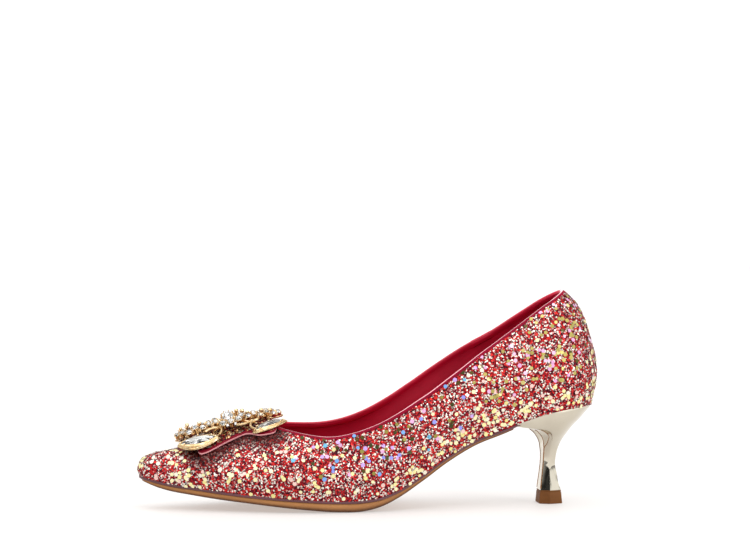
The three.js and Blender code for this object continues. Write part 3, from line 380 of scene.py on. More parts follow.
TOP_LATERAL = topline_points(1)
TOP_MEDIAL = topline_points(2)
TOPLINE_BLEND = 16.0
BLOCK = 4000


# Distance to the topline in the side view: over 0 inside the foot's opening
def over_topline(points):
    result = np.zeros(len(points))
    for start in range(0, len(points), BLOCK):
        block = points[start:start + BLOCK]
        w = np.clip((block[:, 1] + TOPLINE_BLEND) / (2 * TOPLINE_BLEND), 0, 1)[:, None, None]
        line = TOP_LATERAL[None] * (1 - w) + TOP_MEDIAL[None] * w
        a, b = line[:, :-1], line[:, 1:]
        p = block[:, None, [0, 2]]
        run = b - a
        t = np.clip(((p - a) * run).sum(-1) / (run * run).sum(-1), 0, 1)
        gap = p - (a + run * t[..., None])
        away = np.hypot(gap[..., 0], gap[..., 1])
        near = away.argmin(1)
        rows = np.arange(len(block))
        cross = run[rows, near, 0] * gap[rows, near, 1] - run[rows, near, 1] * gap[rows, near, 0]
        result[start:start + BLOCK] = np.where(cross > 0, 1, -1) * away[rows, near]
    return result


# Keeps the part of a mesh where the field is under 0, cut along the field's zero line.
# Returns the points, the extra values that go with them, the triangles and the cut line's edges.
def clip(points, extra, tris, field):
    field = np.where(np.abs(field) < 1e-6, -1e-6, field)
    inside = field < 0
    count = inside[tris].sum(1)
    kept = [tuple(t) for t in tris[count == 3]]
    new_points, new_extra, made, edges = [], [], {}, []

    def crossing(i, j):
        key = (min(i, j), max(i, j))
        if key not in made:
            t = field[i] / (field[i] - field[j])
            made[key] = len(points) + len(new_points)
            new_points.append(mix(points[i], points[j], t))
            new_extra.append(mix(extra[i], extra[j], t))
        return made[key]

    for tri in tris[(count == 1) | (count == 2)]:
        turn = [k for k in range(3) if inside[tri[k]] == (inside[tri].sum() == 1)][0]
        a, b, c = tri[turn], tri[(turn + 1) % 3], tri[(turn + 2) % 3]
        p, q = crossing(a, b), crossing(c, a)
        if inside[a]:
            kept.append((a, p, q))
            edges.append((p, q))
        else:
            kept += [(p, b, c), (p, c, q)]
            edges.append((q, p))
    all_points = np.concatenate([points, np.array(new_points).reshape(-1, points.shape[1])])
    all_extra = np.concatenate([extra, np.array(new_extra).reshape(-1, extra.shape[1])])
    used, flat = np.unique(np.array(kept), return_inverse=True)
    place = {int(old): new for new, old in enumerate(used)}
    edges = [(place[int(a)], place[int(b)]) for a, b in edges]
    return all_points[used], all_extra[used], flat.reshape(-1, 3), edges


# The longest closed line that the edges make
def chain(edges):
    following = dict(edges)
    loops = []
    while following:
        start = next(iter(following))
        loop = [start]
        here = following.pop(start)
        while here != start and here in following:
            loop.append(here)
            here = following.pop(here)
        loops.append(loop)
    return max(loops, key=len)


# Evenly spaced points along a closed line, with what goes with them
def resample(points, extra, spacing, smooth=0):
    step = np.linalg.norm(np.roll(points, -1, axis=0) - points, axis=1)
    total = np.concatenate([[0], np.cumsum(step)])
    count = int(round(total[-1] / spacing))
    at = np.linspace(0, total[-1], count, endpoint=False)
    found = []
    for values in (points, extra):
        closed = np.vstack([values, values[:1]])
        out = np.stack([np.interp(at, total, closed[:, k]) for k in range(values.shape[1])], -1)
        for _ in range(smooth):
            out = 0.5 * out + 0.25 * (np.roll(out, 1, axis=0) + np.roll(out, -1, axis=0))
        found.append(out)
    return found


# Mesh objects
def rgb(r, g, b):
    return (r, g, b, 1.0)


def linked(name, data):
    found = bpy.data.objects.new(name, data)
    bpy.context.scene.collection.objects.link(found)
    return found


def make(name, points, faces, materials, smooth=True, indices=None, colours=None):
    mesh = bpy.data.meshes.new(name)
    mesh.from_pydata((np.asarray(points) * MM).tolist(), [], [list(map(int, f)) for f in faces])
    for material in materials:
        mesh.materials.append(material)
    if indices is not None:
        mesh.polygons.foreach_set("material_index", np.asarray(indices, np.int32))
    mesh.polygons.foreach_set("use_smooth", np.full(len(mesh.polygons), smooth))
    if colours is not None:
        layer = mesh.color_attributes.new("tint", "FLOAT_COLOR", "POINT")
        rows = np.ones((len(points), 4), np.float32)
        rows[:, :3] = colours
        layer.data.foreach_set("color", rows.ravel())
    mesh.update()
    return linked(name, mesh)


def finish_piece(piece, slot, *nodes):
    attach(piece, "root")
    if nodes:
        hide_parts(*nodes)


class Build:
    """Points, faces and material numbers of one joined mesh."""

    def __init__(self):
        self.points, self.faces, self.indices = [], [], []

    def add(self, points, faces, index=0):
        base = len(self.points)
        self.points += [tuple(p) for p in points]
        self.faces += [[base + int(k) for k in face] for face in faces]
        self.indices += list(index) if hasattr(index, "__len__") else [index] * len(faces)

    def make(self, name, materials, smooth=True):
        return make(name, np.array(self.points), self.faces, materials, smooth, self.indices)


# A closed ring of profiles: rows are the places along, columns the points of the profile
def ring_faces(rows, columns, closed_rows=True, closed_columns=True):
    faces = []
    for i in range(rows if closed_rows else rows - 1):
        for j in range(columns if closed_columns else columns - 1):
            a, b = i * columns + j, i * columns + (j + 1) % columns
            c = ((i + 1) % rows) * columns + (j + 1) % columns
            d = ((i + 1) % rows) * columns + j
            faces.append((a, b, c, d))
    return faces


def flipped(faces):
    return [face[::-1] for face in faces]


# One face that closes the end of a ring
def cap(first, count):
    return list(range(first, first + count))


# Materials
class Nodes:
    """The node tree of a material or a world, with short calls for the nodes used here."""

    def __init__(self, owner, shader="Principled BSDF"):
        owner.use_nodes = True
        self.owner = owner
        self.tree = owner.node_tree
        self.shader = self.tree.nodes[shader]

    def node(self, kind, inputs=None, **settings):
        found = self.tree.nodes.new(kind)
        for key, value in settings.items():
            setattr(found, key, value)
        for key, value in (inputs or {}).items():
            self.feed(found.inputs[key], value)
        return found

    def feed(self, socket, value):
        if isinstance(value, bpy.types.NodeSocket):
            self.tree.links.new(value, socket)
        else:
            socket.default_value = value

    def set(self, **values):
        for key, value in values.items():
            self.feed(self.shader.inputs[key.replace("_", " ")], value)

    def place(self, kind="Object"):
        return self.node("ShaderNodeTexCoord").outputs[kind]

    def tint(self):
        return self.node("ShaderNodeVertexColor", layer_name="tint").outputs["Color"]

    def noise(self, scale, detail=3.0, rough=0.5, place="Object"):
        inputs = {"Vector": self.place(place), "Scale": scale, "Detail": detail, "Roughness": rough}
        return self.node("ShaderNodeTexNoise", inputs).outputs["Fac"]

    def voronoi(self, scale, output="Color", **settings):
        inputs = {"Vector": self.place(), "Scale": scale}
        return self.node("ShaderNodeTexVoronoi", inputs, **settings).outputs[output]

    def math(self, operation, a, b):
        return self.node("ShaderNodeMath", {0: a, 1: b}, operation=operation).outputs[0]

    def vector(self, operation, inputs, output="Vector"):
        return self.node("ShaderNodeVectorMath", inputs, operation=operation).outputs[output]

    def spread(self, value, low, high, out_low, out_high, **settings):
        inputs = {"Value": value, "From Min": low, "From Max": high, "To Min": out_low, "To Max": out_high}
        return self.node("ShaderNodeMapRange", inputs, **settings).outputs["Result"]

    # From low to high over the middle of a noise
    def between(self, noise, low, high):
        return self.spread(noise, 0.3, 0.7, low, high)

    def blend(self, factor, a, b, kind="MIX"):
        found = self.tree.nodes.new("ShaderNodeMix")
        found.data_type = "RGBA"
        found.blend_type = kind
        self.feed(found.inputs[0], factor)
        self.feed(found.inputs[6], a)
        self.feed(found.inputs[7], b)
        return found.outputs[2]

    def steps(self, value, stops):
        found = self.node("ShaderNodeValToRGB", {"Fac": value})
        ramp = found.color_ramp
        ramp.interpolation = "CONSTANT"
        while len(ramp.elements) < len(stops):
            ramp.elements.new(0.5)
        for element, (place, colour) in zip(ramp.elements, stops):
            element.position = place
            element.color = colour
        return found.outputs["Color"]

    def bump(self, height, strength, distance):
        inputs = {"Height": height, "Strength": strength, "Distance": distance}
        return self.node("ShaderNodeBump", inputs).outputs["Normal"]


def material_nodes(name):
    return Nodes(bpy.data.materials.new(name))


# Cells of the fine glitter per metre, and how far their normals lean
GLITTER_CELLS = 1250
FLAKE_TILT = 0.9


# Fine glitter: each cell is one flake with its own colour and its own tilt
def glitter_material(name):
    n = material_nodes(name)
    cells = n.voronoi(GLITTER_CELLS)
    parts = n.node("ShaderNodeSeparateColor", {"Color": cells})
    colour = n.steps(parts.outputs["Red"], [
        (0.0, rgb(0.36, 0.008, 0.016)), (0.22, rgb(0.68, 0.026, 0.022)), (0.42, rgb(0.05, 0.002, 0.008)),
        (0.71, rgb(0.92, 0.89, 0.79)), (0.87, rgb(0.34, 0.11, 0.11)), (0.91, rgb(0.5, 0.02, 0.025)),
    ])
    edge = n.voronoi(GLITTER_CELLS, "Distance", feature="DISTANCE_TO_EDGE")
    colour = n.blend(n.spread(edge, 0.0, 0.06, 0.55, 0.0), colour, rgb(0.12, 0.01, 0.015))
    # The tint multiplies in painted shade: round and under the bow on the upper, and over the bow pad
    colour = n.blend(1.0, colour, n.tint(), "MULTIPLY")
    tilt = n.vector("SUBTRACT", {0: cells, 1: (0.5, 0.5, 0.5)})
    tilt = n.vector("SCALE", {0: tilt, "Scale": FLAKE_TILT})
    normal = n.node("ShaderNodeNewGeometry").outputs["Normal"]
    normal = n.vector("NORMALIZE", {0: n.vector("ADD", {0: normal, 1: tilt})})
    n.set(Base_Color=colour, Roughness=n.spread(parts.outputs["Green"], 0, 1, 0.22, 0.5), Metallic=0.35,
          Normal=normal, Specular_IOR_Level=0.2)
    return n.owner


# Loose flakes: the colour comes from the mesh, with a slight cloudiness over it
def flake_material(name, metallic):
    n = material_nodes(name)
    cloud = n.noise(2500, 2.0)
    colour = n.blend(n.between(cloud, 0.0, 0.3), n.tint(), rgb(0.6, 0.5, 0.45), "MULTIPLY")
    n.set(Base_Color=colour, Roughness=n.between(cloud, 0.18, 0.32), Metallic=metallic,
          Specular_IOR_Level=0.2)
    return n.owner


def leather_material(name, colour, dark, roughness, grain, depth, coat=0.0, shine=0.5):
    n = material_nodes(name)
    broad = n.noise(55, 4.0)
    pores = n.voronoi(grain, "Distance")
    fine = n.noise(grain * 1.7, 4.0, 0.6)
    height = n.math("ADD", n.math("MULTIPLY", pores, 0.6), n.math("MULTIPLY", fine, 0.5))
    tone = n.blend(n.between(broad, 0.0, 1.0), colour, dark)
    n.set(Base_Color=tone, Roughness=n.between(fine, roughness - 0.06, roughness + 0.1),
          Normal=n.bump(height, depth, 0.0002), Coat_Weight=coat, Coat_Roughness=0.15,
          Specular_IOR_Level=shine)
    return n.owner


def metal_material(name, colour, shade, roughness, ripple=0.05, cloud=40):
    n = material_nodes(name)
    broad = n.noise(cloud, 3.0)
    fine = n.noise(900, 3.0)
    tone = n.blend(n.spread(broad, 0.35, 0.65, 0.0, 1.0), colour, shade)
    n.set(Base_Color=tone, Metallic=1.0, Roughness=n.between(fine, roughness, roughness + 0.05),
          Normal=n.bump(broad, ripple, 0.001))
    return n.owner


GLITTER = glitter_material("red_and_white_glitter")
FLAKES = flake_material("glitter_flakes", 0.45)
LARGE_FLAKES = flake_material("large_flakes", 0.25)
BINDING = leather_material("crimson_binding", rgb(0.27, 0.003, 0.024), rgb(0.2, 0.002, 0.017),
                           roughness=0.5, grain=1400, depth=0.12, shine=0.08)
# Painted highlight: a pale pink line along the top of the binding's fold, used on the near side only
PAINTED_BINDING_HIGHLIGHT = leather_material("painted_pink_binding_highlight", rgb(0.95, 0.5, 0.54), rgb(0.88, 0.34, 0.4),
                                roughness=0.3, grain=1400, depth=0.1, coat=0.5)
# Painted shadow: a dark strip along the bottom of the binding's inner leg
PAINTED_GAP_SHADOW = leather_material("painted_gap_shadow", rgb(0.12, 0.001, 0.008), rgb(0.09, 0.001, 0.006),
                        roughness=0.6, grain=1400, depth=0.1, shine=0.05)
# Painted light: a brighter copy of the binding's crimson, on its inner face and, on the far side, over its
# fold
PAINTED_LIT_BINDING = leather_material("painted_lit_inner_binding", rgb(0.56, 0.006, 0.04), rgb(0.46, 0.004, 0.03),
                                 roughness=0.45, grain=1400, depth=0.15, coat=0.1, shine=0.2)
BOW_FACE = leather_material("crimson_bow_edge", rgb(0.2, 0.002, 0.014), rgb(0.15, 0.002, 0.01),
                            roughness=0.55, grain=1400, depth=0.12, shine=0.08)
LINING = leather_material("crimson_lining", rgb(0.47, 0.005, 0.03), rgb(0.37, 0.003, 0.022),
                          roughness=0.5, grain=1100, depth=0.2, shine=0.3)
BOW_EDGE = leather_material("pink_cut_edge", rgb(0.92, 0.42, 0.43), rgb(0.84, 0.33, 0.35),
                            roughness=0.6, grain=1600, depth=0.4)
RAND = leather_material("plum_rand", rgb(0.13, 0.035, 0.045), rgb(0.09, 0.025, 0.03),
                        roughness=0.45, grain=1300, depth=0.3, coat=0.1)
GOLD = metal_material("champagne_plating", rgb(0.66, 0.615, 0.51), rgb(0.6, 0.55, 0.45), 0.04, 0.03)
BROOCH_GOLD = metal_material("warm_gold", rgb(0.93, 0.8, 0.57), rgb(0.68, 0.4, 0.16), 0.12, 0.1, 420)
RIM_GOLD = metal_material("pale_gold", rgb(0.78, 0.62, 0.38), rgb(0.52, 0.33, 0.15), 0.16, 0.1, 420)
# Painted reflection: the brown lines down the heel's front edges
PAINTED_BROWN_REFLECTION = metal_material("painted_brown_reflection_line", rgb(0.4, 0.2, 0.08), rgb(0.3, 0.14, 0.05), 0.25)
FOIL = metal_material("silver_foil", rgb(0.86, 0.86, 0.88), rgb(0.8, 0.79, 0.77), 0.05)
# Painted reflections: grey and dark tones for the crystals' foil and crown facets
PAINTED_GREY_REFLECTION_FOIL = metal_material("painted_grey_foil_reflection", rgb(0.3, 0.3, 0.29), rgb(0.22, 0.21, 0.2), 0.08)
PAINTED_DARK_REFLECTION_FOIL = metal_material("painted_dark_foil_reflection", rgb(0.05, 0.05, 0.048), rgb(0.09, 0.07, 0.05), 0.1)
PAINTED_GREY_REFLECTION_FACET = metal_material("painted_grey_crown_reflection", rgb(0.5, 0.5, 0.48), rgb(0.4, 0.4, 0.38), 0.1)
PAINTED_DARK_REFLECTION_FACET = metal_material("painted_dark_crown_reflection", rgb(0.13, 0.13, 0.12), rgb(0.2, 0.18, 0.15), 0.1)


def sole_material():
    n = material_nodes("tan_sole")
    fibre = n.noise(700, 5.0, 0.65)
    broad = n.noise(35, 3.0)
    tone = n.blend(n.between(broad, 0.0, 0.35), n.tint(), rgb(0.5, 0.3, 0.16), "MULTIPLY")
    tone = n.blend(n.spread(fibre, 0.35, 0.65, 0.0, 0.3), tone, rgb(0.3, 0.15, 0.07))
    n.set(Base_Color=tone, Roughness=n.between(fibre, 0.4, 0.6), Normal=n.bump(fibre, 0.25, 0.0002),
          Specular_IOR_Level=0.2)
    return n.owner


def rubber_material():
    n = material_nodes("brown_rubber")
    fine = n.noise(1500, 4.0, 0.6)
    broad = n.noise(60, 3.0)
    tone = n.blend(n.between(broad, 0.0, 1.0), rgb(0.18, 0.07, 0.02), rgb(0.13, 0.047, 0.012))
    n.set(Base_Color=tone, Roughness=n.between(fine, 0.5, 0.7), Normal=n.bump(fine, 0.35, 0.0002),
          Specular_IOR_Level=0.15)
    return n.owner


def crystal_material():
    n = material_nodes("clear_crystal")
    cloud = n.noise(300, 2.0)
    n.set(Base_Color=n.blend(n.between(cloud, 0.0, 1.0), rgb(1, 1, 1), rgb(0.97, 0.98, 1)),
          Roughness=0.0, IOR=1.7, Transmission_Weight=1.0)
    return n.owner


SOLE = sole_material()
RUBBER = rubber_material()
CRYSTAL = crystal_material()


# A smooth closed line through points
def smooth_outline(points, count):
    result = []
    total = len(points)
    for i in range(total):
        a, b, c, d = (np.array(points[(i + k) % total], float) for k in (-1, 0, 1, 2))
        for s in range(count):
            t = s / count
            square = (2 * a - 5 * b + 4 * c - d) * t * t
            cube = (3 * b - a - 3 * c + d) * t ** 3
            result.append(0.5 * (2 * b + (c - a) * t + square + cube))
    return np.array(result)


# The outline of the bow, seen from above
def bow_outline():
    half = [(BOW_AT + along * BOW_LENGTH, across * BOW_WIDTH / 2) for along, across in BOW_OUTLINE]
    return smooth_outline([(x, -y) for x, y in half] + half[1:-1][::-1], 5)


BOW_RIM = bow_outline()


# Distance to the bow's outline: under 0 inside it
def bow_distance(points):
    a, b = BOW_RIM, np.roll(BOW_RIM, -1, axis=0)
    run = b - a
    p = points[:, None, :]
    t = np.clip(((p - a) * run).sum(-1) / (run * run).sum(-1), 0, 1)
    away = np.linalg.norm(p - (a + run * t[..., None]), axis=2).min(1)
    crosses = (a[:, 1] > p[..., 1]) != (b[:, 1] > p[..., 1])
    at = a[:, 0] + (p[..., 1] - a[:, 1]) / np.where(run[:, 1] == 0, 1e-9, run[:, 1]) * run[:, 0]
    inside = (crosses & (p[..., 0] < at)).sum(1) % 2 == 1
    return np.where(inside, -away, away)


# Height of the vamp at places near the middle of the forefoot
VAMP_END = TOE_STEPS + 110
VAMP_LATERAL = RING[TOE_STEPS:VAMP_END]
VAMP_MEDIAL = RING[PARTNER[TOE_STEPS:VAMP_END]]
SHOULDER_ROW = 16


def vamp_z(x, y):
    sections = VAMP_LATERAL if y < 0 else VAMP_MEDIAL
    xs = sections[:, 0, 0]
    k = int(np.clip(np.searchsorted(xs, x) - 1, 0, len(xs) - 2))
    t = (x - xs[k]) / (xs[k + 1] - xs[k])
    heights = []
    for row in (sections[k], sections[k + 1]):
        part = row[SHOULDER_ROW:][::-1]
        heights.append(np.interp(abs(y), np.abs(part[:, 1]), part[:, 2]))
    return mix(*heights, t)


# Painted shade: the glitter is darker under the bow and close to its edge
BOW_SHADE = np.array([0.15, 0.06, 0.06])
SHADE_REACH = (1.5, 15.0)


def bow_shade(points):
    heights = np.array([vamp_z(x, y) for x, y in BOW_RIM])
    nearest = np.linalg.norm(points[:, None, :2] - BOW_RIM, axis=2).argmin(1)
    beyond = np.maximum(bow_distance(points[:, :2]), 0)
    away = np.hypot(beyond, np.where(beyond > 0, heights[nearest] - points[:, 2], 0))
    return mix(BOW_SHADE, np.ones(3), smoothstep(*SHADE_REACH, away)[:, None])


# Level directions straight out from the feather edge
def sole_outward():
    edge = RING[:, 0]
    along = np.roll(edge, -1, axis=0) - np.roll(edge, 1, axis=0)
    outward = np.stack([along[:, 1], -along[:, 0], np.zeros(COUNT)], -1)
    return outward / np.linalg.norm(outward, axis=1, keepdims=True)


OUTWARD = sole_outward()


# The feather edge moved outward and up
def sole_edge(out, up):
    points = RING[:, 0] + OUTWARD * np.reshape(out, (-1, 1))
    points[:, 2] = feather_zs(points[:, 0]) + up
    return points


def solidify(piece, thickness):
    modifier = piece.modifiers.new("thickness", "SOLIDIFY")
    modifier.thickness = thickness * MM
    modifier.offset = -1
    modifier.use_rim = True


def weld(piece, distance):
    modifier = piece.modifiers.new("weld", "WELD")
    modifier.merge_threshold = distance * MM


# The upper: a glitter skin rolled under at the feather edge, and a lining inside it. Both stop short of the
# topline by their cut, and both are as thick as the sheet.
SKIN_CUT = 1.5
LINING_CUT = 1.0
LINING_DEPTH = 1.75
SHEET = 0.8


def glitter_skin():
    points, normals, tris, _ = clip(SKIN, SKIN_NORMALS, SKIN_TRIS, over_topline(SKIN) + SKIN_CUT)
    rolls = [sole_edge(-1.6, -0.05), sole_edge(-0.35, -0.12), sole_edge(0.0, 0.0)]
    strip = np.array(ring_faces(len(rolls), COUNT, closed_rows=False)) + len(points)
    body = np.concatenate([points] + rolls)
    # The skin's tint is the painted shade round and under the bow
    piece = make("glitter_upper", body, [*tris, *strip], [GLITTER], colours=bow_shade(body))
    weld(piece, 0.02)
    solidify(piece, SHEET)
    finish_piece(piece, "glitter_fabric", "upper")
    return points, normals, tris


def lining():
    points = SKIN - SKIN_NORMALS * LINING_DEPTH
    points, _, tris, _ = clip(points, SKIN_NORMALS, SKIN_TRIS, over_topline(points) + LINING_CUT)
    piece = make("upper_lining", points, tris[:, ::-1], [LINING])
    solidify(piece, SHEET)
    finish_piece(piece, "red_lining", "upper")


SKIN_MESH = glitter_skin()
lining()


# The topline binding: a folded strip swept along the edge, with a lap where its ends meet. Its section is
# given out from the edge and up from it: the outside rows, the fold over the top, the inside rows.
BINDING_STEP = 0.8
OUTSIDE_ROWS = [(0.0, -2.1), (0.16, -2.02), (0.22, -1.9), (0.26, -1.6), (0.3, -1.3)]
INSIDE_ROWS = [(-2.14, -1.6), (-2.16, -2.4), (-2.14, -3.0), (-2.02, -3.15), (-1.96, -3.5), (-1.7, -3.55)]
FOLD_AT = -0.9
FOLD_WIDTH, FOLD_HEIGHT = 1.2, 0.86
GAP_SHADOW_ROWS = 3
LAP_START, LAP_END = 75.0, 84.0
LAP_RISE = 0.28


def topline_loop():
    points, normals, _, edges = clip(SKIN, SKIN_NORMALS, SKIN_TRIS, over_topline(SKIN))
    order = chain(edges)
    return resample(points[order], normals[order], BINDING_STEP, smooth=8)


def loop_frames(points, normals):
    along = np.roll(points, -1, axis=0) - np.roll(points, 1, axis=0)
    along /= np.linalg.norm(along, axis=1, keepdims=True)
    out = normals - along * (normals * along).sum(1, keepdims=True)
    out /= np.linalg.norm(out, axis=1, keepdims=True)
    up = np.cross(along, out)
    return out, up if over_topline(points + up * 2).mean() >= 0 else -up


def binding():
    points, normals = topline_loop()
    out, up = loop_frames(points, normals)
    count = len(points)
    place = np.arange(count) * BINDING_STEP
    wave = 0.22 * np.sin(place * 0.33) + 0.16 * np.sin(place * 0.13 + 1)
    xs = points[:, 0]
    lap = smoothstep(LAP_START, LAP_START + 0.5, xs) - smoothstep(LAP_END, LAP_END + 3, xs)
    lap = LAP_RISE * lap * (points[:, 1] > 0)
    fold = [(FOLD_AT + FOLD_WIDTH * math.cos(t), -FOLD_HEIGHT + FOLD_HEIGHT * math.sin(t))
            for t in np.linspace(0, math.pi, 13)]
    first, last = len(OUTSIDE_ROWS), len(OUTSIDE_ROWS) + len(fold) - 1
    profile = [(a, b, 0) for a, b in OUTSIDE_ROWS + fold] + [(a, b, 1) for a, b in INSIDE_ROWS]
    rows = []
    for n, b, inside in profile:
        push = lap if n > FOLD_AT else -lap
        fall = b + (wave if inside and b < -2.5 else 0)
        rows.append(points + out * np.reshape(n + push, (-1, 1)) + up * np.reshape(fall, (-1, 1)))
    mesh = np.stack(rows, 1).reshape(-1, 3)
    # Painted light on the binding: a highlight over the fold on the near side, a brighter crimson over the
    # fold on the far side and on the inner face, and a painted shadow on the lowest inside rows
    tones = []
    for i in range(count):
        near = points[i, 1] < 2
        for j in range(len(profile)):
            bright = first + 1 <= j <= first + 6
            in_gap_shadow = j >= len(profile) - GAP_SHADOW_ROWS
            tones.append(3 if in_gap_shadow else 1 if bright and near else 2 if bright or last - 5 <= j else 0)
    materials = [BINDING, PAINTED_BINDING_HIGHLIGHT, PAINTED_LIT_BINDING, PAINTED_GAP_SHADOW]
    faces = flipped(ring_faces(count, len(profile)))
    piece = make("topline_binding_rolled", mesh, faces, materials, indices=tones)
    finish_piece(piece, "red_leather", "topline_binding")


binding()


# The sock inside: a leather sheet on the insole, turned up a little against the lining
SOCK_COLUMNS = 25
SOCK_EDGE_UP = 0.4


def sock():
    heights = RING[:, :, 2] - RING[:, :1, 2]
    inner = ring_inside()
    loop = np.zeros((COUNT, 3))
    for i in range(COUNT):
        k = int(np.argmax(heights[i] > INSOLE_TOP + SOCK_EDGE_UP))
        t = (INSOLE_TOP + SOCK_EDGE_UP - heights[i, k - 1]) / (heights[i, k] - heights[i, k - 1])
        loop[i] = mix(inner[i, k - 1], inner[i, k], t)
    rows = []
    for i in range(2, COUNT // 2 - 1):
        a, b = loop[i], loop[PARTNER[i]]
        row = []
        for t in np.linspace(0, 1, SOCK_COLUMNS):
            p = mix(a, b, t)
            edge = min(t, 1 - t) * np.linalg.norm(b - a)
            z = feather_zs(p[0]) + INSOLE_TOP + 0.08 + 0.7 * math.exp(-edge / 1.6)
            row.append((p[0], p[1], z))
        rows.append(row)
    mesh = np.array(rows).reshape(-1, 3)
    faces = ring_faces(len(rows), SOCK_COLUMNS, closed_rows=False, closed_columns=False)
    piece = make("sock", mesh, flipped(faces), [LINING])
    solidify(piece, 1.2)
    finish_piece(piece, "red_lining", "insole")


# The last's rings moved inward to the lining
def ring_inside():
    grid = RING.copy()
    along = np.roll(grid, -1, axis=0) - np.roll(grid, 1, axis=0)
    above = np.concatenate([grid[:, 1:], grid[:, -1:]], 1) - np.concatenate([grid[:, :1], grid[:, :-1]], 1)
    normal = np.cross(along, above)
    normal /= np.maximum(np.linalg.norm(normal, axis=2, keepdims=True), 1e-9)
    return grid - normal * LINING_DEPTH


sock()


# The rand: its section out from the feather edge and up from it, and how far it stands out before the heel
# and behind its breast
RAND_SECTION = [(-3.5, RAND_TOP), (-0.25, RAND_TOP), (-0.06, -0.2), (0, -0.42), (0, -1.1), (-0.08, -1.32),
                (-0.3, RAND_BOTTOM), (-3.5, RAND_BOTTOM)]
RAND_OUT = (0.12, -1.6)


def rand():
    out = mix(*RAND_OUT, smoothstep(HEEL_BREAST - 0.5, HEEL_BREAST + 1.0, RING[:, 0, 0]))
    mesh = np.stack([sole_edge(out + n, up) for n, up in RAND_SECTION], 1).reshape(-1, 3)
    piece = make("rand_edge", mesh, flipped(ring_faces(COUNT, len(RAND_SECTION))), [RAND])
    finish_piece(piece, "mauve_edge", "rand")


rand()

# The outsole's tints, and its edge from the top down: drop and inset in shares of the thickness
TAN = np.array([0.5, 0.23, 0.078])
# The edge darkens to this towards its bottom, partly a burnished edge and partly a painted contact shadow
BURNISH_AND_CONTACT_SHADE = np.array([0.07, 0.022, 0.008])
UNDERSIDE = np.array([0.56, 0.33, 0.17])
EDGE_PROFILE = [(0.0, 0.03), (0.06, -0.01), (0.25, -0.035), (0.5, -0.03), (0.68, 0.0),
                (0.8, 0.07), (0.9, 0.18), (0.96, 0.31), (1.0, 0.48)]


def outsole():
    end_x = HEEL_BREAST - 0.3
    thick_at = column(OUTSOLE_LINE, 1)
    tuck_at = column(OUTSOLE_LINE, 2)
    sides = []
    for side in (LATERAL, MEDIAL):
        order = (np.arange(COUNT) if side == LATERAL else PARTNER)[:COUNT // 2]
        edge, outward = RING[order, 0], OUTWARD[order]
        last = int(np.argmax(edge[:, 0] > end_x))
        t = (end_x - edge[last - 1, 0]) / (edge[last, 0] - edge[last - 1, 0])
        cut = mix(edge[last - 1], edge[last], t)
        edge = np.vstack([edge[:last], cut])
        outward = outward[:last + 1]
        at = at_x(edge[:, 0])
        thick = np.array([thick_at(a) * OUTSOLE_THICKNESS for a in at])
        tuck = np.array([tuck_at(a) * BALL_WIDTH for a in at])
        levels = []
        for down, inset in EDGE_PROFILE:
            p = edge - outward * (tuck + inset * thick)[:, None]
            p[-1, 0] = end_x
            top = feather_zs(p[:, 0]) + SOLE_TOP
            p[:, 2] = np.maximum(np.maximum(top - down * thick, (1 - down) * thick), 0)
            levels.append(p)
        sides.append(np.stack(levels, 1))
    rows = min(len(sides[0]), len(sides[1]))
    sides = [np.vstack([s[:rows - 1], s[-1:]]) for s in sides]
    bottom = [mix(sides[0][:, -1], sides[1][:, -1], t) for t in np.linspace(0, 1, 16)[1:-1]]
    top = [mix(sides[1][:, 0], sides[0][:, 0], t) for t in np.linspace(0, 1, 8)[1:-1]]
    loop = [sides[0][:, k] for k in range(len(EDGE_PROFILE))] + bottom
    loop += [sides[1][:, k] for k in range(len(EDGE_PROFILE))][::-1] + top
    columns = len(loop)
    mesh = np.stack(loop, 1).reshape(-1, 3)
    tint = [mix(TAN, BURNISH_AND_CONTACT_SHADE, smoothstep(0.25, 0.9, down)) for down, _ in EDGE_PROFILE]
    colours = np.tile(tint + [UNDERSIDE] * len(bottom) + tint[::-1] + [TAN] * len(top), (rows, 1))
    faces = flipped(ring_faces(rows, columns, closed_rows=False) + [cap((rows - 1) * columns, columns)])
    piece = make("outsole_leather", mesh, faces, [SOLE], colours=colours)
    weld(piece, 0.01)
    finish_piece(piece, "tan_sole", "outsole")


outsole()


# The heel
HEEL_UPS = [row[0] for row in HEEL_LEVELS]
HEEL_MIDDLE = HEEL_BREAST + 0.44 * HEEL_SEAT
FOOT_MIDDLE = HEEL_BREAST + 0.497 * HEEL_SEAT
CORNER_SHARE = 0.62
SEAT_GAP = 0.25


# Shares from 0 to 1, closer together at both ends
def eased(count, closed=False):
    return [0.5 - 0.5 * math.cos(math.pi * i / count) for i in range(count + (1 if closed else 0))]


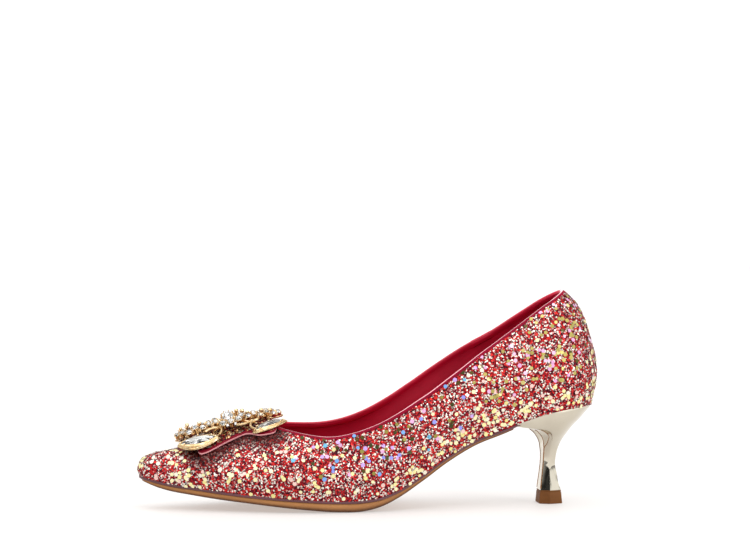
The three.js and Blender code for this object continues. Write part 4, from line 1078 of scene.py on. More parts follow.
# One half of the heel's outline at a height: its front, its side up to the ridge, its rear
def heel_half(up):
    at = {key: through(HEEL_UPS, [row[i] for row in HEEL_LEVELS], up) for i, key in enumerate(HEEL_KEYS)}
    front, ridge, rear = (HEEL_BREAST + at[key] * HEEL_SEAT for key in ("front", "ridge", "rear"))
    widths = [at[key] * HEEL_SEAT_WIDTH for key in ("halfFront", "halfRidge", "halfRear")]
    half_front, half_ridge, half_rear = widths
    bevel = max(at["bevel"], 0.004) * HEEL_SEAT

    def rounded(turn, flat_x, flat_y):
        round_x, round_y = mix(ridge, rear, math.sin(turn)), half_ridge * math.cos(turn)
        return mix(round_x, flat_x, at["facet"]), mix(round_y, flat_y, at["facet"])

    points = []
    for t in eased(6):
        points.append((front + at["hollow"] * HEEL_SEAT * (1 - t * t), (half_front - bevel * 0.8) * t))
    for t in eased(3):
        points.append((front + bevel * t, half_front - bevel * 0.8 * (1 - t)))
    for t in eased(12):
        width = mix(half_front, half_ridge, mix(math.sin(t * math.pi / 2), t, at["facet"]))
        points.append((mix(front + bevel, ridge, t), width))
    for t in eased(12):
        turn = t * CORNER_SHARE * math.pi / 2
        points.append(rounded(turn, mix(ridge, rear, t), mix(half_ridge, half_rear, t)))
    for t in eased(8, closed=True):
        turn = mix(CORNER_SHARE, 1, t) * math.pi / 2
        points.append(rounded(turn, rear, half_rear * (1 - t)))
    return points


def heel_loop(up):
    half = heel_half(up)
    return np.array([(x, -y, up * HEEL_HEIGHT) for x, y in half]
                    + [(x, y, up * HEEL_HEIGHT) for x, y in half[1:-1][::-1]])


# The heel's levels are spread from the stem's foot to the seat, and none reaches past the feather edge
def heel():
    ups = np.linspace(HEEL_LEVELS[0][0], HEEL_LEVELS[-1][0], 300)
    loops = np.array([heel_loop(up) for up in ups])
    centre = np.array([HEEL_MIDDLE, 0.0])
    outline = sole_edge(-0.15, 0)[:, :2] - centre
    angles = np.arctan2(outline[:, 1], outline[:, 0])
    order = np.argsort(angles)
    reach = np.hypot(outline[order, 0], outline[order, 1])
    limit_z = feather_zs(loops[:, :, 0]) - SEAT_GAP
    levels = 150
    columns = loops.shape[1]
    mesh = np.zeros((levels, columns, 3))
    for c in range(columns):
        over = loops[:, c, 2] - limit_z[:, c]
        k = int(np.argmax(over > 0)) if (over > 0).any() else len(ups) - 1
        t = -over[k - 1] / (over[k] - over[k - 1]) if over[k] > 0 else 1
        top = mix(ups[k - 1], ups[k], t)
        at = mix(ups[0], top, np.linspace(0, 1, levels))
        for axis in range(3):
            mesh[:, c, axis] = np.interp(at, ups, loops[:, c, axis])
        mesh[-1, c, 2] = feather_zs(mesh[-1, c, 0]) - SEAT_GAP
    flat = mesh[:, :, :2] - centre
    away = np.hypot(flat[..., 0], flat[..., 1])
    most = np.interp(np.arctan2(flat[..., 1], flat[..., 0]), angles[order], reach)
    scale = np.minimum(1, most / np.maximum(away, 1e-6))
    mesh[:, :, :2] = centre + flat * scale[..., None]
    seat = feather_zs(mesh[:, :, 0].ravel()).reshape(levels, columns) - SEAT_GAP
    mesh[:, :, 2] = np.minimum(mesh[:, :, 2], seat)
    faces = ring_faces(levels, columns, closed_rows=False) + [cap(0, columns)[::-1]]
    base = (levels - 1) * columns
    for i in range(columns // 2):
        corners = [base + i, base + i + 1, base + columns - i - 1, base + (columns - i) % columns]
        faces.append(list(dict.fromkeys(corners)))
    piece = make("plated_heel", mesh.reshape(-1, 3), faces, [GOLD])
    piece.data.set_sharp_from_angle(angle=math.radians(24))
    finish_piece(piece, "gold_plating", "heel")


heel()


# The top piece's levels: height in mm and size in shares of the heel's foot
TOP_PIECE_LEVELS = [(0, 1.06), (0.25, 1.1), (0.7, 1.11), (3.5, 1.06), (6.3, 1.02), (6.55, 0.97), (6.75, 0.97),
                    (6.85, 1.005), (7.32, 1.0)]


def top_piece():
    base = heel_loop(HEEL_LEVELS[0][0])
    rows = []
    for z, scale in TOP_PIECE_LEVELS:
        loop = base.copy()
        loop[:, 0] = FOOT_MIDDLE + (loop[:, 0] - FOOT_MIDDLE) * scale
        loop[:, 1] *= 0.4 + 0.6 * scale
        loop[:, 2] = z
        rows.append(loop)
    columns = len(base)
    faces = ring_faces(len(rows), columns, closed_rows=False)
    faces += [cap(0, columns)[::-1], cap((len(rows) - 1) * columns, columns)]
    piece = make("rubber_top_piece", np.array(rows).reshape(-1, 3), faces, [RUBBER])
    finish_piece(piece, "brown_rubber", "top_piece")


top_piece()


# A round bar along a path
def rod(path, radius, sides=8):
    path = np.array(path, float)
    count = len(path)
    points = []
    for i, p in enumerate(path):
        along = path[min(i + 1, count - 1)] - path[max(i - 1, 0)]
        along /= np.linalg.norm(along)
        side = np.cross(along, (0, 0, 1.0))
        side = side / np.linalg.norm(side) if np.linalg.norm(side) > 1e-6 else np.array([1.0, 0, 0])
        over = np.cross(side, along)
        width = radius[i] if hasattr(radius, "__len__") else radius
        for j in range(sides):
            turn = 2 * math.pi * j / sides
            points.append(p + width * (side * math.cos(turn) + over * math.sin(turn)))
    faces = ring_faces(count, sides, closed_rows=False)
    return points, faces + [cap(0, sides), cap((count - 1) * sides, sides)[::-1]]


# Painted reflection: thin brown lines down the front edges of the heel
HEEL_CORNERS = (6, 9)


def painted_heel_reflections():
    lines = Build()
    for corner in HEEL_CORNERS:
        for side in (LATERAL, MEDIAL):
            path = []
            for up in np.linspace(0.15, 0.76, 70):
                x, y = heel_half(up)[corner]
                path.append((x, side * y, up * HEEL_HEIGHT))
            lines.add(*rod(path, 0.2, 6))
    finish_piece(lines.make("heel_painted_reflection_lines", [PAINTED_BROWN_REFLECTION]), "gold_plating")


painted_heel_reflections()


# The bow: a padded glitter pad with a folded face edge and a lighter cut edge. The band is the plain strip of
# the face along its edge, the grid is the mesh's step, both in mm; the pleat lies between the loops.
BOW_BAND = 0.8
BOW_GRID = 0.6
PLEAT = 0.35


def bow_puff(x, y):
    up = 1.0
    for along, length, across, high in BOW_LOOPS:
        a = (x - BOW_AT - along * BOW_LENGTH) / (length * BOW_LENGTH)
        b = y / (across * BOW_WIDTH / 2)
        up += high * math.exp(-a * a - b * b)
    return up * BOW_SHEET


def bow():
    xs = np.arange(BOW_AT - 23.5, BOW_AT + 23.5, BOW_GRID)
    ys = np.arange(-21.6, 21.7, BOW_GRID)
    grid = np.array([(x, y) for x in xs for y in ys])
    cols = len(ys)
    quads = np.array(ring_faces(len(xs), cols, closed_rows=False, closed_columns=False))
    tris = np.concatenate([quads[:, [0, 1, 2]], quads[:, [0, 2, 3]]])
    field = bow_distance(grid)
    points, extra, tris, edges = clip(grid, field[:, None], tris, field)
    depth = np.maximum(-extra[:, 0], 0)
    base = np.array([vamp_z(x, y) for x, y in points]) + BOW_LIFT
    puff = np.array([bow_puff(x, y) for x, y in points])
    shoulder = np.sqrt(1 - (1 - np.clip(depth / 1.1, 0, 1)) ** 2)
    shoulder += 0.3 * smoothstep(BOW_BAND - 0.2, BOW_BAND + 0.3, depth) / puff
    pleat = PLEAT * np.exp(-((points[:, 0] - BOW_AT - 0.06 * BOW_LENGTH) / 1.6) ** 2)
    top = base + puff * (0.66 + 0.34 * shoulder) - pleat * (puff - 0.9)
    upper = np.column_stack([points, top])
    lower = np.column_stack([points, base])
    count = len(points)
    if face_normals(upper, tris)[:, 2].mean() < 0:
        tris = tris[:, ::-1]
        edges = [(b, a) for a, b in edges]
    rim = sorted({i for edge in edges for i in edge})
    place = {old: k for k, old in enumerate(rim)}
    middle = mix(lower[rim], upper[rim], 0.92)
    mesh = np.concatenate([upper, lower, middle])
    faces = [tuple(t) for t in tris] + [(c + count, b + count, a + count) for a, b, c in tris]
    indices = list((depth[tris].min(1) < BOW_BAND).astype(int)) + [1] * len(tris)
    for a, b in edges:
        ma, mb = 2 * count + place[a], 2 * count + place[b]
        faces += [(ma, a + count, b + count, mb), (a, ma, mb, b)]
        indices += [2, 1]
    # Painted shade: the pad's glitter is darkened to 0.4 for the shadow of the brooch over it
    colours = np.full((len(mesh), 3), 0.4)
    materials = [GLITTER, BOW_FACE, BOW_EDGE]
    piece = make("bow_glitter_pad", mesh, faces, materials, indices=indices, colours=colours)
    finish_piece(piece, "glitter_fabric", "bow_pad")
    return upper, mesh_normals(upper, tris), tris


BOW_MESH = bow()


# The brooch, worked flat (along, across, up) and bent over the bow
LIFT_AT = column(BROOCH_LINE, 1)
BEND_AT = column(BROOCH_LINE, 2)


# The surface the brooch lies on, at a place along and across
def brooch_base(u, v):
    at = u / BROOCH_LENGTH
    x = BROOCH_AT + u
    vamp = feather_z(x) + COLUMNS["crown"](at_x(x)) * INSTEP
    z = vamp + LIFT_AT(at) * BOW_SHEET + BROOCH_LEAN * v - v * v / (2 * BEND_AT(at) * BROOCH_WIDTH)
    return np.array([x, v, z])


DRAPED = {}


def drape(u, v, up):
    key = (round(u, 4), round(v, 4))
    if key not in DRAPED:
        along = brooch_base(u + 0.5, v) - brooch_base(u - 0.5, v)
        across = brooch_base(u, v + 0.5) - brooch_base(u, v - 0.5)
        normal = np.cross(along, across)
        DRAPED[key] = (brooch_base(u, v), normal / np.linalg.norm(normal))
    base, normal = DRAPED[key]
    return base + normal * up


def draped(points):
    return [drape(*p) for p in points]


def ball(centre, radius, rows=5, columns=8):
    points, faces = [(centre[0], centre[1], centre[2] + radius)], []
    for i in range(1, rows):
        tilt = math.pi * i / rows
        for j in range(columns):
            turn = 2 * math.pi * j / columns
            points.append((centre[0] + radius * math.sin(tilt) * math.cos(turn),
                           centre[1] + radius * math.sin(tilt) * math.sin(turn),
                           centre[2] + radius * math.cos(tilt)))
    points.append((centre[0], centre[1], centre[2] - radius))
    last = len(points) - 1
    for j in range(columns):
        k = (j + 1) % columns
        faces.append((0, 1 + j, 1 + k))
        for i in range(rows - 2):
            a, b = 1 + i * columns, 1 + (i + 1) * columns
            faces.append((a + j, b + j, b + k, a + k))
        base = 1 + (rows - 2) * columns
        faces.append((last, base + k, base + j))
    return points, faces


# A place on the pointed oval of a long crystal
def almond_point(long, wide, turn):
    c = math.cos(turn)
    return long * c, wide * math.sin(turn) * (1 - 0.25 * c * c)


def almond(long, wide, count):
    return [almond_point(long, wide, 2 * math.pi * i / count) for i in range(count)]


def circle(radius, count, turned=0.0):
    return [(radius * math.cos(2 * math.pi * (i + turned) / count),
             radius * math.sin(2 * math.pi * (i + turned) / count)) for i in range(count)]


def placed(points, at, turn=0.0):
    c, s = math.cos(turn), math.sin(turn)
    return [(at[0] + x * c - y * s, at[1] + x * s + y * c) for x, y in points]


# A cut stone: crown facets over a girdle and foil-backed facets under it. Its rings have 8 or 16 corners.
def cut_stone(outline_at, at, turn, seat, height, depth):
    def ring(share, up, first=0, step=2):
        corners = [outline_at(share, i + first) for i in range(0, 16, step)]
        return [(x, y, up) for x, y in placed(corners, at, turn)]

    points = ring(0.5, seat + height) + ring(0.8, seat + height * 0.66, first=0.5)
    points += ring(1.0, seat + height * 0.2, step=1) + ring(1.0, seat, step=1)
    t, m, g, b = 0, 8, 16, 32
    crown = [cap(t, 8)]
    for k in range(8):
        n = (k + 1) % 8
        crown += [(t + k, m + k, t + n), (g + 2 * k, m + k, t + k), (t + n, m + k, g + (2 * n) % 16)]
        crown += [(g + 2 * k, g + 2 * k + 1, m + k), (g + 2 * k + 1, g + (2 * k + 2) % 16, m + k)]
    for k in range(16):
        n = (k + 1) % 16
        crown.append((b + k, b + n, g + n, g + k))
    crown.append(cap(b, 16)[::-1])
    foil = ring(0.97, seat - 0.06, step=1) + ring(0.5, seat - depth * 0.55, first=0.5)
    foil += ring(0.12, seat - depth)
    back = [cap(24, 8)]
    for k in range(8):
        n = (k + 1) % 8
        a, c, e = 2 * k, (2 * k + 1) % 16, (2 * k + 2) % 16
        back += [(a, c, 16 + k), (c, e, 16 + k), (e, 16 + n, 16 + k), (16 + k, 16 + n, 24 + n, 24 + k)]
    return points, crown, foil, back


# Foil facets by turns silver and painted grey and dark reflections, so that a stone sparkles
FOIL_ORDER = (0, 1, 0, 2, 1, 0, 1, 2, 0)
CROWN_ORDER = (0, 1, 0, 0, 2, 0, 1)
CROWN_FACETS = 40


def facet_tones(back, shift):
    return [FOIL_ORDER[(k * 5 + shift) % 9] for k in range(len(back))]


# Crown facets are mostly clear, with painted grey and dark reflections between; the table has a tone of its
# own
def crown_tones(crown, shift, clear, table):
    found = [table] + [0] * (len(crown) - 1)
    for k in range(1, CROWN_FACETS + 1):
        if (k + shift) % clear:
            found[k] = CROWN_ORDER[(k * 3 + shift) % 7]
    return found


# Adds a stone's crown to the glass and its back to the foil. The shifts move the tones round the facets.
def set_stone(glass, foil, stone, lay, shifts, clear=2, table=0):
    points, crown, base, back = stone
    glass.add(lay(points), crown, crown_tones(crown, shifts[0], clear, table))
    foil.add(lay(base), back, facet_tones(back, shifts[1]))


# Leans a stone about its own middle
def leaned(points, at, up, turn, angle):
    turned = Matrix.Rotation(angle, 3, Vector((math.cos(turn), math.sin(turn), 0)))
    middle = Vector((at[0], at[1], up))
    return [tuple(middle + turned @ (Vector(p) - middle)) for p in points]


def almond_outline(long, wide):
    def at(share, i):
        x, y = almond_point(long, wide, 2 * math.pi * i / 16)
        return x * mix(share, 1, 0.25), y * share
    return at


def round_outline(radius):
    def at(share, i):
        turn = 2 * math.pi * i / 16
        return radius * share * math.cos(turn), radius * share * math.sin(turn)
    return at


# The cup a round stone sits in, with its prongs
def cup(gold, at, base, top, radius, prongs, prong_rise, lean=0.0):
    def lay(points):
        return draped(leaned(points, at, top, 0.0, lean))

    points = []
    levels = [(0.62, 0.0), (0.7, base), (0.98, top), (1.02, top + 0.12), (0.86, top + 0.14),
              (0.8, top - 0.3)]
    for share, up in levels:
        points += [(x, y, up) for x, y in placed(circle(radius * share, 16), at)]
    gold.add(lay(points), ring_faces(len(levels), 16, closed_rows=False))
    for x, y in placed(circle(radius * 0.93, prongs, 0.5), at):
        nearer = (mix(x, at[0], 0.16), mix(y, at[1], 0.16))
        path = lay([(x, y, top - 0.5), (x, y, top + prong_rise * 0.7), (*nearer, top + prong_rise)])
        gold.add(*rod(path, [0.27, 0.27, 0.2], 6))
        gold.add(*ball(path[-1], 0.27, 4, 6))


# A flat leaf of metal, made of a ball
def petal(middle, turn, long, wide, lean):
    points, faces = ball((0, 0, 0), 1, 6, 10)
    turned = Matrix.Rotation(turn, 3, "Z") @ Matrix.Rotation(-lean, 3, "Y")
    scaled = [turned @ Vector((x * long, y * wide, z * wide * 0.6)) for x, y, z in points]
    return [tuple(Vector(middle) + p) for p in scaled], faces


# A knob on its post, with five leaves round it
def knob(gold, x, y, top, radius):
    foot = drape(x - BROOCH_AT, y, 0.3)[2]
    path = [(x, y, mix(foot, top - radius, t)) for t in (0, 0.5, 1)]
    gold.add(*rod(path, [0.75, 0.5, 0.42], 8))
    gold.add(*ball((x, y, top - radius), radius, 6, 10))
    low = top - 2.1 * radius
    for k in range(5):
        turn = 2 * math.pi * (k + 0.3) / 5
        gold.add(*petal((x + 1.0 * math.cos(turn), y + 1.0 * math.sin(turn), low), turn, 0.85, 0.5, 0.6))


# A small stone in its cup
def small_stone(gold, glass, foil, number, side, along, across, rise, radius, angle, turn):
    at = (along * BROOCH_LENGTH, side * across * BROOCH_LENGTH)
    top = rise * BROOCH_RIM * 0.86
    cup(gold, at, max(top - 1.6, 0.2), top - 0.25, radius * 1.17, 4, 0.6)

    def lay(points):
        return draped(leaned(points, at, top - 0.3, side * turn, angle * 0.6))

    stone = cut_stone(round_outline(radius), at, 0.0, top - 0.3, 1.1, 1.0)
    set_stone(glass, foil, stone, lay, (number, number))


def centre_stone(gold, glass, foil):
    top = BROOCH_RIM + 1.6
    cup(gold, (0, 0), 1.0, top, 3.6, 8, 1.7, CENTRE_LEAN)

    def lay(points):
        return draped(leaned(points, (0, 0), top, 0.0, CENTRE_LEAN))

    stone = cut_stone(round_outline(CENTRE_STONE), (0, 0), 0.0, BROOCH_RIM + 1.3, 2.4, 1.9)
    set_stone(glass, foil, stone, lay, (2, 4))
    for k, (x, y) in enumerate(circle(CENTRE_STONE + 1.7, 9)):
        gold.add(*petal(drape(x, y, BROOCH_RIM * 0.9), 2 * math.pi * k / 9, 1.7, 1.15, 0.5))


def brooch():
    gold, glass, foil = Build(), Build(), Build()
    both = [(side, *stone) for side in (LATERAL, MEDIAL) for stone in STONES]
    for number, stone in enumerate(both):
        small_stone(gold, glass, foil, number, *stone)
    centre_stone(gold, glass, foil)
    for place in KNOBS:
        knob(gold, *place)
    for side in (LATERAL, MEDIAL):
        for along, across, long, wide, turn, sink in NAVETTES:
            at = (along * BROOCH_LENGTH, side * across * BROOCH_LENGTH)
            size = (long * BROOCH_LENGTH, wide * BROOCH_LENGTH)
            navette_setting(gold, glass, foil, at, *size, side * turn, sink)
        for points in SCROLLS:
            scroll(gold, [(x, side * y) for x, y in points])
    lattice(gold)
    stones = ("front_lateral", "rear_lateral", "front_medial", "rear_medial", "centre")
    nodes = ["crystal_" + name for name in stones]
    finish_piece(gold.make("brooch_gold", [BROOCH_GOLD, RIM_GOLD]), "gold_brooch", "brooch_frame")
    crystals = glass.make("brooch_crystals", [CRYSTAL, PAINTED_GREY_REFLECTION_FACET, PAINTED_DARK_REFLECTION_FACET], smooth=False)
    finish_piece(crystals, "crystal", *nodes)
    finish_piece(foil.make("crystal_foil", [FOIL, PAINTED_GREY_REFLECTION_FOIL, PAINTED_DARK_REFLECTION_FOIL], smooth=False), "crystal", *nodes)


# The rim of a long crystal: its section out from the girdle and up, its lines of beads with place out and up,
# radius and spacing, and the places of the prongs round it
RIM_SECTION = [(-0.35, 0.0), (1.6, 0.0), (1.95, 0.3), (1.95, 0.85), (1.55, 1.3), (0.8, 1.6), (0.3, 1.95),
               (0.02, 1.9), (0.05, 1.2), (-0.35, 0.9)]
RIM_STEPS = 44
BEAD_LINES = [(1.75, 0.6, 0.46, 0.9), (1.05, 1.42, 0.36, 0.74)]
PRONGS_AT = (0.12, 0.38, 0.62, 0.88)


# A long crystal, its rim with two lines of beads, and the prongs over it
def navette_setting(gold, glass, foil, at, long, wide, turn, sink):
    lean = math.copysign(NAVETTE_LEAN, at[1])

    def lay(points):
        return draped(leaned([(x, y, up - sink) for x, y, up in points], at, 0.6 - sink, turn, lean))

    stone = cut_stone(almond_outline(long, wide), at, turn, 1.3, 1.6, 1.0)
    set_stone(glass, foil, stone, lay, (5, 2), clear=9, table=1)
    loops = []
    for out, up in RIM_SECTION:
        outline = placed(almond(long + out, wide + out, RIM_STEPS), at, turn)
        loops.append([(x, y, up) for x, y in outline])
    rim = [point for points in zip(*loops) for point in points]
    gold.add(lay(rim), flipped(ring_faces(RIM_STEPS, len(RIM_SECTION))), 1)
    for out, up, size, spacing in BEAD_LINES:
        line = np.array(almond(long + out, wide + out, 240))
        for x, y in placed(resample(line, line, spacing)[0], at, turn):
            gold.add(*ball(lay([(x, y, up)])[0], size, 4, 7), 1)
    prongs = almond(long + 0.2, wide + 0.2, 200)
    balls = [(*prongs[int(share * 200)], 2.1, 0.5) for share in PRONGS_AT]
    balls += [(tip * (long + 0.1), 0, 1.9, 0.62) for tip in (-1, 1)]
    for x, y, up, radius in balls:
        x, y = placed([(x, y)], at, turn)[0]
        gold.add(*ball(lay([(x, y, up)])[0], radius, 5, 8))


# A beaded wire curling from the end of a long crystal's rim up to the crest
SCROLL_STEP = 0.8


def scroll(gold, points):
    path = np.array(smooth_path(points, [8] * (len(points) - 1)) + [list(points[-1])])
    run = np.concatenate([[0], np.cumsum(np.linalg.norm(np.diff(path, axis=0), axis=1))])
    steps = np.linspace(0, run[-1], int(run[-1] / SCROLL_STEP) + 1)
    line = [(np.interp(s, run, path[:, 0]), np.interp(s, run, path[:, 1])) for s in steps]
    gold.add(*rod(draped([(x, y, 0.9) for x, y in line]), 0.75, 8), 1)
    for x, y in line:
        gold.add(*ball(drape(x, y, 1.5), 0.46, 4, 7), 1)


# Bars under the stones that hold the frame together
def lattice(gold):
    def bar(a, b, radius=0.75, up=0.55):
        path = [(mix(a[0], b[0], t), mix(a[1], b[1], t), up) for t in np.linspace(0, 1, 5)]
        gold.add(*rod(draped(path), radius, 8))

    for side in (LATERAL, MEDIAL):
        at = [(stone[0] * BROOCH_LENGTH, side * stone[1] * BROOCH_LENGTH) for stone in STONES]
        front_end, rear_end = FRONT_STONES - 1, len(at) - FLANK_STONES - 1
        for i in [*range(front_end), *range(FRONT_STONES, rear_end)]:
            bar(at[i], at[i + 1])
        bar((0, 0), at[0])
        bar((0, 0), at[FRONT_STONES])
        for along, across, long, wide, _, _ in NAVETTES:
            middle = (along * BROOCH_LENGTH, side * (across - wide) * BROOCH_LENGTH)
            bar(middle, (middle[0], side * 2.8))
            bar((middle[0] - math.copysign(long * 0.9 * BROOCH_LENGTH, along), middle[1]), (0, 0))
        for end in (front_end, rear_end):
            bar(at[end], (at[end][0], 0))


brooch()


# Loose glitter flakes lying on a surface
def scatter(points, normals, tris, count, rng):
    area = np.linalg.norm(face_normals(points, tris), axis=1)
    chosen = rng.choice(len(tris), count, p=area / area.sum())
    w = rng.random((count, 2))
    w = np.where(w.sum(1, keepdims=True) > 1, 1 - w, w)
    w = np.column_stack([1 - w.sum(1), w])
    place = (points[tris[chosen]] * w[:, :, None]).sum(1)
    normal = (normals[tris[chosen]] * w[:, :, None]).sum(1)
    return place, normal / np.linalg.norm(normal, axis=1, keepdims=True)


def flakes(name, place, normal, sizes, lift, lean, tints, rng, material, sides=6):
    count = len(place)
    tilted = normal + rng.normal(0, lean, (count, 3))
    tilted /= np.linalg.norm(tilted, axis=1, keepdims=True)
    side = np.cross(tilted, rng.normal(0, 1, (count, 3)))
    side /= np.linalg.norm(side, axis=1, keepdims=True)
    other = np.cross(tilted, side)
    turns = 2 * np.pi * np.arange(sides) / sides
    rim = side[:, None] * np.cos(turns)[None, :, None] + other[:, None] * np.sin(turns)[None, :, None]
    raised = place[:, None] + normal[:, None] * np.reshape(lift, (-1, 1, 1))
    mesh = raised + rim * np.reshape(sizes, (-1, 1, 1))
    faces = np.arange(count * sides).reshape(count, sides)
    colours = np.repeat(tints, sides, axis=0)
    piece = make(name, mesh.reshape(-1, 3), faces, [material], smooth=False, colours=colours)
    finish_piece(piece, "glitter_fabric")


# The flakes' colours, and the shares they are drawn in
CREAM = [(0.92, 0.85, 0.4), (0.94, 0.89, 0.53), (0.85, 0.75, 0.3), (0.92, 0.88, 0.72), (0.9, 0.62, 0.56)]
CREAM_SHARES = [3, 4, 1.2, 1.2, 1.3]
BLUE = [(0.2, 0.42, 0.85), (0.32, 0.34, 0.9), (0.16, 0.5, 0.75), (0.05, 0.055, 0.012), (0.08, 0.06, 0.01),
        (0.3, 0.26, 0.06), (0.6, 0.4, 0.85), (0.8, 0.45, 0.72)]
BLUE_SHARES = [2, 2, 1, 2.4, 2.4, 1.6, 2.2, 1.2]
OLIVE = [(0.5, 0.42, 0.12), (0.42, 0.36, 0.1), (0.6, 0.52, 0.18), (0.82, 0.42, 0.7), (0.88, 0.6, 0.8),
         (0.1, 0.09, 0.02)]
OLIVE_SHARES = [3, 2, 2, 2, 1.4, 1.2]
RED = [(0.72, 0.026, 0.02), (0.38, 0.01, 0.018), (0.08, 0.004, 0.014), (0.92, 0.89, 0.8),
       (0.26, 0.22, 0.17), (0.56, 0.2, 0.2), (0.17, 0.006, 0.014)]
RED_SHARES = [23, 13, 29, 21, 3, 5, 7]
# The bow's flakes: darker reds than the upper's, a painted shade from the brooch over them, and gold ones,
# painted glints of the brooch's gold
BOW_SHADE_AND_GLINT_COLOURS = [(0.3, 0.015, 0.012), (0.16, 0.006, 0.01), (0.04, 0.003, 0.006), (0.62, 0.4, 0.16), (0.85, 0.7, 0.42)]
BOW_SHADE_AND_GLINT_SHARES = [20, 24, 28, 17, 11]
# Draws, radii and lifts of the flakes in mm. No large flake lies where the painted shade round the bow is
# deepest, and none of the bow's lies on its plain band.
SMALL_FLAKES, LARGE_FLAKE_TRIES, BOW_FLAKES = 34000, 2100, 3000
SMALL_SIZE, SMALL_LIFT = (0.4, 0.66), (0.04, 0.2)
LARGE_SIZE, LARGE_LIFT = (0.95, 1.3), (0.3, 0.42)
MOST_SHADE = 0.55
BOW_FLAKE_INSET = 0.95


def pick(palette, shares, count, rng):
    weights = np.array(shares, float)
    return np.array(palette)[rng.choice(len(palette), count, p=weights / weights.sum())]


# The colours of the large flakes change over the shoe: cream at the toe, low down and on the back edge, blue,
# lilac and dark ones through the quarter, olive and pink ones over the rear.
def zone_tints(place, rng):
    count = len(place)
    x = place[:, 0]
    high = smoothstep(11, 18, place[:, 2] - feather_zs(x) + rng.normal(0, 2, count))
    blue = smoothstep(-50, 5, x) * (1 - smoothstep(60, 85, x)) * high
    olive = smoothstep(58, 85, x) * (1 - 0.6 * smoothstep(124, 136, x)) * high
    draw = rng.random(count)
    tints = pick(CREAM, CREAM_SHARES, count, rng)
    for share, palette, shares in ((blue, BLUE, BLUE_SHARES), (olive, OLIVE, OLIVE_SHARES)):
        tints = np.where((draw < share * 0.92)[:, None], pick(palette, shares, count, rng), tints)
    return tints


# Large flakes lie closest together low down and in the quarter
def zone_density(place):
    x = place[:, 0]
    high = smoothstep(11, 18, place[:, 2] - feather_zs(x))
    low = np.select([x > 30, x < -72], [0.85, 0.8], 0.45)
    return mix(low, np.select([x > 60, x < -72, x < -20], [0.6, 0.72, 0.26], 0.5), high)


def cover_with_flakes():
    rng = np.random.default_rng(7)
    place, normal = scatter(*SKIN_MESH, SMALL_FLAKES, rng)
    sizes = rng.uniform(*SMALL_SIZE, len(place))
    # Painted shade: the small flakes darken under and near the bow
    tints = pick(RED, RED_SHARES, len(place), rng) * bow_shade(place)
    lift = rng.uniform(*SMALL_LIFT, len(place))
    flakes("small_flakes", place, normal, sizes, lift, 0.2, tints, rng, FLAKES, 5)
    place, normal = scatter(*SKIN_MESH, LARGE_FLAKE_TRIES, rng)
    kept = (rng.random(len(place)) < zone_density(place)) & (bow_shade(place)[:, 0] > MOST_SHADE)
    place, normal = place[kept], normal[kept]
    sizes = rng.uniform(*LARGE_SIZE, len(place))
    lift = rng.uniform(*LARGE_LIFT, len(place))
    tints = zone_tints(place, rng)
    flakes("hexagonal_flakes", place, normal, sizes, lift, 0.07, tints, rng, LARGE_FLAKES)
    place, normal = scatter(*BOW_MESH, BOW_FLAKES, rng)
    inner = bow_distance(place[:, :2]) < -BOW_FLAKE_INSET
    place, normal = place[inner], normal[inner]
    tints = pick(BOW_SHADE_AND_GLINT_COLOURS, BOW_SHADE_AND_GLINT_SHARES, len(place), rng)
    sizes = rng.uniform(*SMALL_SIZE, len(place))
    lift = rng.uniform(*SMALL_LIFT, len(place))
    flakes("bow_flakes", place, normal, sizes, lift, 0.25, tints, rng, FLAKES, 5)


cover_with_flakes()


# Floor, light and camera
FLOOR_HALF = (6, 5)


def floor():
    n = material_nodes("pale_floor")
    away = n.vector("LENGTH", {0: n.place()}, "Value")
    tone = n.blend(n.spread(away, 0.35, 1.1, 0.0, 1.0), rgb(0.46, 0.44, 0.43), rgb(0.86, 0.86, 0.86))
    glow = n.spread(away, 0.35, 1.1, 0.4, 0.26)
    n.set(Base_Color=tone, Roughness=0.6, Emission_Color=rgb(1, 0.985, 0.97), Emission_Strength=glow)
    x, y = FLOOR_HALF
    points = [(-x, -y, 0), (x, -y, 0), (x, y, 0), (-x, y, 0)]
    piece = make("floor", np.array(points) / MM, [(0, 1, 2, 3)], [n.owner], smooth=False)


def aimed(place, direction):
    turn = direction.to_track_quat("-Z", "Y").to_matrix().to_4x4()
    return Matrix.Translation(place) @ turn


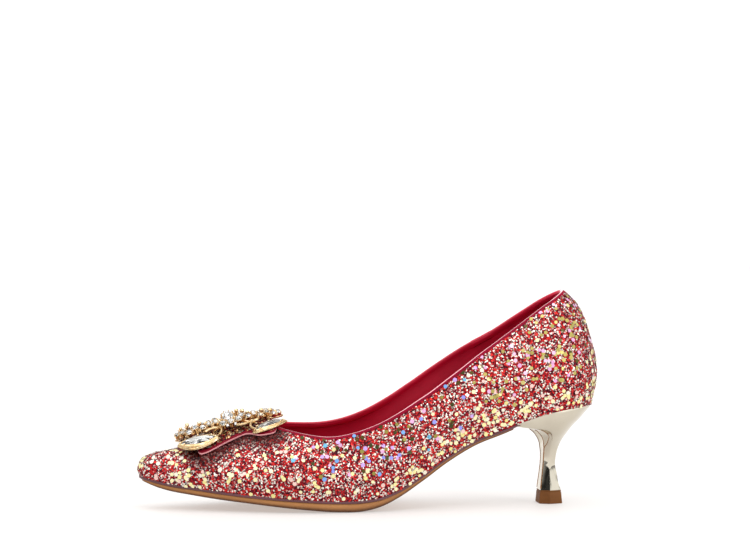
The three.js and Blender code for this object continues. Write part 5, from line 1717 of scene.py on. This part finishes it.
def area_light(name, place, target, size, power):
    light = bpy.data.lights.new(name, "AREA")
    light.shape = "RECTANGLE"
    light.size, light.size_y = size
    light.energy = power
    place = Vector(place)
    linked(name, light).matrix_world = aimed(place, Vector(target) - place)


# The world is white with soft patches, darker towards the left front and bright behind the shoe
def studio():
    world = bpy.data.worlds.new("studio")
    bpy.context.scene.world = world
    n = Nodes(world, "Background")

    def fade(value, *limits):
        return n.spread(value, *limits, interpolation_type="SMOOTHSTEP")

    def toward(*direction):
        inputs = {0: n.place("Generated"), 1: Vector(direction).normalized()}
        return n.vector("DOT_PRODUCT", inputs, "Value")

    patches = fade(n.noise(2.4, 0.5, place="Generated"), 0.42, 0.55, 0.35, 1.2)
    flagged = n.math("MULTIPLY", patches, fade(toward(-0.62, -0.78, 0.02), 0.8, 0.97, 1.0, 0.05))
    backdrop = fade(toward(0, 1, 0), 0.7, 0.9, 0.0, 1.35)
    n.set(Color=rgb(1, 1, 1), Strength=n.math("MAXIMUM", flagged, backdrop))
    area_light("overhead_softbox", (-0.1, -0.1, 1.1), (0.02, 0, 0.05), (1.6, 1.2), 9)
    area_light("front_left_softbox", (-0.9, -1.1, 0.8), (0, 0, 0.05), (0.5, 0.8), 3.5)
    area_light("front_right_softbox", (0.9, -1.0, 0.6), (0.05, 0, 0.05), (0.4, 0.8), 5)


# The camera: lens and place in mm, turn to the right and down in degrees
CAMERA_LENS = 132.96
CAMERA_AT = (-176.17, -1483.11, 167.69)
CAMERA_TURN = (7.5, 1.5077)


def camera():
    data = bpy.data.cameras.new("camera")
    data.lens = CAMERA_LENS
    data.sensor_width = 36
    data.clip_start = 0.01
    data.clip_end = 50
    yaw, pitch = (math.radians(angle) for angle in CAMERA_TURN)
    ahead = Vector((math.sin(yaw) * math.cos(pitch), math.cos(yaw) * math.cos(pitch), -math.sin(pitch)))
    seen = linked("camera", data)
    seen.matrix_world = aimed(Vector(CAMERA_AT) * MM, ahead)
    bpy.context.scene.camera = seen


floor()
studio()
camera()
bpy.context.scene.view_settings.view_transform = "Standard"
